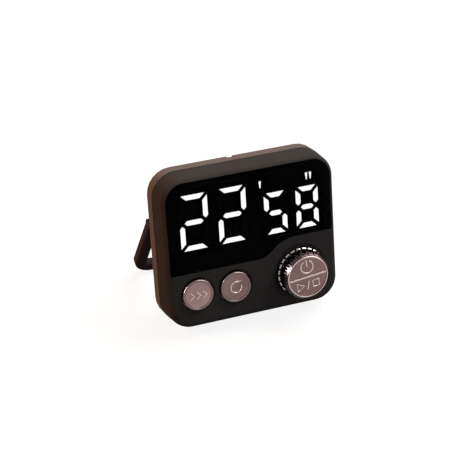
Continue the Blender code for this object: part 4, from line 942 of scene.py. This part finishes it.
# %% Knob
KNOB_TURN = math.radians(6.0)
KNOB_SIDES = 144
KNOB_RISE = 9.0 * MM
KNOB_FACE = 8.6 * MM
KNOB_EDGE = 0.08 * MM
RIM_OUTSIDE = 10.2 * MM
RIM_INSIDE = 9.62 * MM
THIN_CROWN = 0.3 * MM
DISC_SEAT = -7.95 * MM
SLOPE_TOP = -8.62 * MM
LIP_WIDTH = 0.2 * MM
LIP_RISE = 0.08 * MM
GRIP_RADIUS = 11.75 * MM
GRIP_TOP = 5.9 * MM
GRIP_END = 3.0 * MM
TEETH = 24
GROOVE_DEPTH = 0.9 * MM
GROOVE_FOOT = 2.3 * MM
GROOVE_RUN_OUT = 1.3 * MM
UNDERCUT = 11.0 * MM
UNDERCUT_TOP = 2.6 * MM
UNDERCUT_END = 1.8 * MM
HUB_RADIUS = 9.5 * MM
HUB_END = 0.1 * MM
SHAFT_HOLE = 3.1 * MM
SHAFT_DEPTH = 7.1 * MM


def knob_profile():
    """From the disc's seat, over its edge, down the slope and the grip, and round the hub."""
    return [(0.0, DISC_SEAT), (RIM_OUTSIDE, DISC_SEAT), (RIM_OUTSIDE, SLOPE_TOP),
            (RIM_OUTSIDE + LIP_WIDTH / 2, SLOPE_TOP - LIP_RISE), (RIM_OUTSIDE + LIP_WIDTH, SLOPE_TOP),
            (GRIP_RADIUS, -GRIP_TOP), (GRIP_RADIUS, -GRIP_END), (UNDERCUT, -UNDERCUT_TOP),
            (UNDERCUT, -UNDERCUT_END), (HUB_RADIUS, -UNDERCUT_END), (HUB_RADIUS, -HUB_END),
            (SHAFT_HOLE, -HUB_END), (SHAFT_HOLE, -SHAFT_DEPTH), (0.0, -SHAFT_DEPTH)]


def groove_cutter():
    """A bar for each groove: a V two thirds of a pitch wide at the grip, with a ramp below."""
    root = GRIP_RADIUS - GROOVE_DEPTH
    outside = GRIP_RADIUS + GROOVE_DEPTH
    foot = -GROOVE_FOOT - GROOVE_RUN_OUT
    ramp = GROOVE_RUN_OUT / GROOVE_DEPTH
    pitch = math.tau / TEETH
    half_width = 2 * GRIP_RADIUS * math.sin(pitch / 3)
    cutter = one_vertex("groove_cutter", (KNOB_X, 0.0, KNOB_UP))
    draw_on((root, foot, 0.0))
    draw_on((outside - root, ramp * (outside - root), half_width))
    draw_on((0.0, 0.0, -2 * half_width))
    mesh = bmesh.from_edit_mesh(cutter.data)
    start = [vertex for vertex in mesh.verts if abs(vertex.co.x) < MM]
    bmesh.ops.delete(mesh, geom=start, context="VERTS")
    bmesh.update_edit_mesh(cutter.data)
    bpy.ops.mesh.select_all(action="SELECT")
    bpy.ops.mesh.edge_face_add()
    push(-KNOB_RISE)
    face_outwards()
    bpy.ops.transform.rotate(value=-(KNOB_TURN + pitch / 2), orient_axis="Y",
                             center_override=(KNOB_X, 0.0, KNOB_UP))
    bpy.ops.mesh.spin(steps=TEETH - 1, dupli=True, angle=math.tau * (TEETH - 1) / TEETH,
                      center=(KNOB_X, 0.0, KNOB_UP), axis=(0.0, 1.0, 0.0))
    bpy.ops.object.mode_set(mode="OBJECT")
    return cutter


knob = turned_piece("knob_body", knob_profile(), KNOB_X, KNOB_UP, KNOB_SIDES)
combine(knob, groove_cutter(), "DIFFERENCE")
soften(knob, KNOB_EDGE)
settle(knob, ring_metal, "knob", smooth=GRIP_SMOOTH)
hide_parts("knob_cap")
disc_foot = DISC_SEAT - RING_FIT
disc_radius = RIM_INSIDE - RING_FIT
disc_profile = [(0.0, -KNOB_FACE), (disc_radius, -KNOB_FACE), (disc_radius, disc_foot),
                (0.0, disc_foot)]
knob_disc = turned_piece("knob_disc", disc_profile, KNOB_X, KNOB_UP)
# The disc wears the darker copy of the satin finish, painted shade for its darker reflection.
settle(knob_disc, rose_deep, "knob")
thin_rim = rim_profile(RIM_INSIDE, RIM_OUTSIDE - RING_FIT, -KNOB_RISE, disc_foot, THIN_CROWN)
knob_rim = turned_piece("knob_rim", thin_rim, KNOB_X, KNOB_UP)
settle(knob_rim, rose_bright, "knob", smooth=ROUND_SMOOTH)

# %% [markdown]
# The collar at the knob's foot is a bright ring with a tooth under each tooth of the grip, seen
# as a row of light dashes. Its outline is drawn tooth by tooth, and a second outline inside it
# becomes the hole. What the plate shares with a turned blank keeps the blank's sloping edge,
# which turns each tooth to the light.

# %% Knob collar
COLLAR_TIP = 11.85 * MM
COLLAR_ROOT = 10.9 * MM
COLLAR_BORE = 9.8 * MM
COLLAR_FRONT = -1.7 * MM
COLLAR_BACK = -0.1 * MM
COLLAR_SLOPE = 0.45 * MM
COLLAR_EDGE = 0.06 * MM
BORE_SIDES = 72
TOOTH_SHARE = 0.27
ROOT_SHARE = 0.38


def collar_outline():
    """Counterclockwise points of a ring with flat-topped teeth."""
    pitch = math.tau / TEETH
    points = []
    for tooth in range(TEETH):
        middle = KNOB_TURN + tooth * pitch
        for radius, share in ((COLLAR_ROOT, -ROOT_SHARE), (COLLAR_TIP + PAST, -TOOTH_SHARE),
                              (COLLAR_TIP + PAST, TOOTH_SHARE), (COLLAR_ROOT, ROOT_SHARE)):
            angle = middle + share * pitch
            points.append((KNOB_X + radius * math.cos(angle), KNOB_UP + radius * math.sin(angle)))
    return points


bore_outline = arc_points((KNOB_X, KNOB_UP), COLLAR_BORE, 0.0, 360.0, BORE_SIDES)[:-1]
collar = flat_plates("knob_collar", [collar_outline(), bore_outline], COLLAR_FRONT - PAST,
                     COLLAR_BACK + PAST)
collar_blank = [(0.0, COLLAR_FRONT), (COLLAR_TIP - COLLAR_SLOPE, COLLAR_FRONT),
                (COLLAR_TIP, COLLAR_FRONT + COLLAR_SLOPE), (COLLAR_TIP, COLLAR_BACK), (0.0, COLLAR_BACK)]
combine(collar, turned_piece("blank", collar_blank, KNOB_X, KNOB_UP), "INTERSECT")
soften(collar, COLLAR_EDGE)
settle(collar, collar_metal, "knob", smooth=TURNED_SMOOTH)
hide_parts("knob_ring")

# %% [markdown]
# On the knob's face, a bar divides two generic marks: the usual broken ring for power above, and
# a triangle, a stroke and a square for start and stop below. They turn with the knob, which the
# photograph shows turned by six degrees.

# %% Knob marks
POWER_CENTRE = (0.2 * MM, 5.0 * MM)
POWER_RADIUS = 3.1 * MM
POWER_FROM = 117.0
POWER_TO = 423.0
POWER_STEPS = 36
POWER_BAR = [(0.2 * MM, 8.7 * MM), (0.2 * MM, 5.2 * MM)]
START_SIGN = [(-6.0 * MM, -2.2 * MM), (-2.4 * MM, -4.1 * MM), (-6.0 * MM, -6.0 * MM)]
EITHER_SIGN = [(0.35 * MM, -2.0 * MM), (-0.95 * MM, -6.2 * MM)]
STOP_SIGN = [(5.2 * MM, -2.5 * MM), (2.0 * MM, -2.5 * MM), (2.0 * MM, -5.7 * MM), (5.2 * MM, -5.7 * MM)]
DIVIDER_LENGTH = 18.7 * MM
DIVIDER_WIDTH = 0.8 * MM
DIVIDER_EDGE = 0.15 * MM
power_ring = arc_points(POWER_CENTRE, POWER_RADIUS, POWER_FROM, POWER_TO, POWER_STEPS)
knob_lines = [(power_ring, False), (POWER_BAR, False), (START_SIGN, True), (EITHER_SIGN, False),
              (STOP_SIGN, True)]
knob_marks = raised_strokes("knob_marks", knob_lines, -KNOB_FACE, MARK_WIDTH, KNOB_TURN,
                            (KNOB_X, KNOB_UP))
settle(knob_marks, rose_bright, "knob", smooth=ROUND_SMOOTH)
bpy.ops.object.select_all(action="DESELECT")
bpy.ops.mesh.primitive_cube_add(size=1.0, location=(KNOB_X, -KNOB_FACE, KNOB_UP))
divider = bpy.context.object
divider.name = "knob_divider"
divider.scale = (DIVIDER_LENGTH, DIVIDER_WIDTH, DIVIDER_WIDTH)
divider.rotation_euler.y = -KNOB_TURN
bpy.ops.object.transform_apply(location=False, rotation=False, scale=True)
soften(divider, DIVIDER_EDGE, segments=3)
settle(divider, rose_bright, "knob")

# %% [markdown]
# A digit has seven bars with mitred ends, named a to g from the top round to the middle. Their
# outlines are worked out once for a whole digit, with the bars touching, and each is then drawn
# in by half the gap. The reading is the photograph's: 22 minutes and 58 seconds.

# %% Digit outlines
DIGIT_BASE = 38.7 * MM
BAR_WIDTH = 2.602 * MM
BAR_GAP = 1.501 * MM
BIG_DIGIT = (14.202 * MM, 27.1 * MM)
SMALL_DIGIT = (11.498 * MM, 20.596 * MM)
DIGIT_PLACES = [(-34.5 * MM, BIG_DIGIT), (-15.698 * MM, BIG_DIGIT),
                (7.104 * MM, SMALL_DIGIT), (23.102 * MM, SMALL_DIGIT)]
LIT_BARS = ["abged", "abged", "afgcd", "abcdefg"]
STROKE_BASE = 62.396 * MM
STROKE_HEIGHT = 3.3 * MM
STROKE_HALF_TOP = 0.55 * MM
STROKE_HALF_FOOT = 0.19 * MM
STROKES = [5.704 * MM, 29.002 * MM, 31.002 * MM]


def drawn_in(points, distance):
    """An outline with every side moved inwards."""
    moved = []
    for index, here in enumerate(points):
        before = Vector(points[index - 1])
        after = Vector(points[(index + 1) % len(points)])
        here = Vector(here)
        first = (here - before).normalized()
        second = (after - here).normalized()
        inwards = Vector((-first.y - second.y, first.x + second.x)) / (1.0 + first.dot(second))
        moved.append(tuple(here + inwards * distance))
    return moved


def digit_bars(left, size):
    """The seven outlines of one digit, by letter."""
    bar = BAR_WIDTH + BAR_GAP
    x0, x1 = left - BAR_GAP / 2, left + size[0] + BAR_GAP / 2
    z0, z1 = DIGIT_BASE - BAR_GAP / 2, DIGIT_BASE + size[1] + BAR_GAP / 2
    middle = (z0 + z1) / 2
    under, over = middle - bar / 2, middle + bar / 2
    inner0, inner1 = x0 + bar, x1 - bar
    point0, point1 = (x0 + bar / 2, middle), (x1 - bar / 2, middle)
    whole = {
        "a": [(x0, z1), (inner0, z1 - bar), (inner1, z1 - bar), (x1, z1)],
        "b": [(x1, z1), (inner1, z1 - bar), (inner1, over), point1, (x1, over)],
        "c": [(x1, z0), (x1, under), point1, (inner1, under), (inner1, z0 + bar)],
        "d": [(x0, z0), (x1, z0), (inner1, z0 + bar), (inner0, z0 + bar)],
        "e": [(x0, z0), (inner0, z0 + bar), (inner0, under), point0, (x0, under)],
        "f": [(x0, z1), (x0, over), point0, (inner0, over), (inner0, z1 - bar)],
        "g": [point0, (inner0, under), (inner1, under), point1, (inner1, over), (inner0, over)],
    }
    return {letter: drawn_in(points, BAR_GAP / 2) for letter, points in whole.items()}


def stroke_outline(x):
    """A small tapered stroke: one stands for minutes, two for seconds."""
    top = STROKE_BASE + STROKE_HEIGHT
    return [(x + STROKE_HALF_TOP, top), (x - STROKE_HALF_TOP, top),
            (x - STROKE_HALF_FOOT, STROKE_BASE), (x + STROKE_HALF_FOOT, STROKE_BASE)]


print("bars of a digit", len(digit_bars(0.0, BIG_DIGIT)))

# %% [markdown]
# Each bar is the end of a milky plastic land that fills a hole in a black mask. Only the front
# of a land glows, so each lit bar is a thin plate in front of its land. The lands behind them, the
# dark bars and a thin sheet of the same plastic that holds the lands together are coloured near
# black instead of milky white: painted shade for the dark inside of the display.

# %% Lit and dark bars
LAND_FRONT = 1.1 * MM
GLOW_BACK = 1.25 * MM
GLOW_INSET = 0.17 * MM
LAND_GAP = 0.05 * MM
LAND_BACK = 2.6 * MM
SHEET_LEFT = -36.9 * MM
SHEET_RIGHT = 37.0 * MM
SHEET_LOW = DIGIT_BASE - 1.4 * MM
SHEET_HIGH = DIGIT_BASE + 29.5 * MM
SHEET_FRONT = 2.65 * MM
SHEET_BACK = 3.3 * MM
lit_outlines = [stroke_outline(x) for x in STROKES]
dark_outlines = []
for (left, size), lit in zip(DIGIT_PLACES, LIT_BARS):
    for letter, points in digit_bars(left, size).items():
        (lit_outlines if letter in lit else dark_outlines).append(points)
glow_outlines = [drawn_in(points, GLOW_INSET) for points in lit_outlines[len(STROKES):]]
lit_bars = flat_plates("lit_bars", lit_outlines[:len(STROKES)] + glow_outlines, LAND_FRONT, GLOW_BACK)
settle(lit_bars, lit_white, "case")
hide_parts("light_guide")
lit_lands = flat_plates("lit_lands", lit_outlines, GLOW_BACK + LAND_GAP, LAND_BACK)
settle(lit_lands, unlit_white, "case")
dark_bars = flat_plates("dark_bars", dark_outlines, LAND_FRONT, LAND_BACK)
settle(dark_bars, unlit_white, "case")
sheet_outline = [(SHEET_LEFT, SHEET_LOW), (SHEET_RIGHT, SHEET_LOW), (SHEET_RIGHT, SHEET_HIGH),
                 (SHEET_LEFT, SHEET_HIGH)]
guide_sheet = flat_plates("guide_sheet", [sheet_outline], SHEET_FRONT, SHEET_BACK)
settle(guide_sheet, unlit_white, "case")

# %% [markdown]
# The solids come in with a plain material each. This table gives every one its finish.

# %% Finishes of the solids
NODE_FINISHES = {
    case_black: ["front_case"],
    rear_grey: ["rear_case", "battery_door", "stand"],
    smoked: ["display_window"],
    mask_black: ["display_mask"],
    inner_black: ["lamp_grid", "controller_chip", "buzzer", "quick_switch",
                  "reset_switch", "quick_plunger", "reset_plunger", "encoder_plunger",
                  "volume_switch", "volume_slider"],
    # The light guide wears the near-black milky finish, painted shade for the dark inside of the
    # display.
    unlit_white: ["light_guide"],
    rose_satin: ["quick_button", "reset_button", "knob_cap"],
    ring_metal: ["knob_ring"],
    board_green: ["main_board"],
    nickel: ["magnet_left", "magnet_right"],
    steel: ["encoder_body", "encoder_shaft", "positive_plate", "right_link_plate", "left_link_plate",
            "negative_plate"]
           + ["board_screw_%d" % number for number in range(1, 5)]
           + ["case_screw_%d" % number for number in range(1, 5)]
           + ["contact_spring_%d" % number for number in range(1, 4)],
    cell_skin: ["battery_%d" % number for number in range(1, 4)],
}
for material, names in NODE_FINISHES.items():
    for name in names:
        node = frame["nodes"][name]
        node.data.materials.clear()
        node.data.materials.append(material)
print("dressed", sum(len(names) for names in NODE_FINISHES.values()), "of", len(frame["nodes"]))

# %% [markdown]
# The two lamps for reflections still need their pieces: those that wear one of the six plated
# finishes of the buttons and the knob.

# %% Metal pieces
PLATED_FINISHES = (rose_satin, rose_deep, rose_bright, rim_metal, ring_metal, collar_metal)
for piece in bpy.context.scene.objects:
    if piece.type == "MESH" and piece.active_material in PLATED_FINISHES:
        metal_pieces.objects.link(piece)
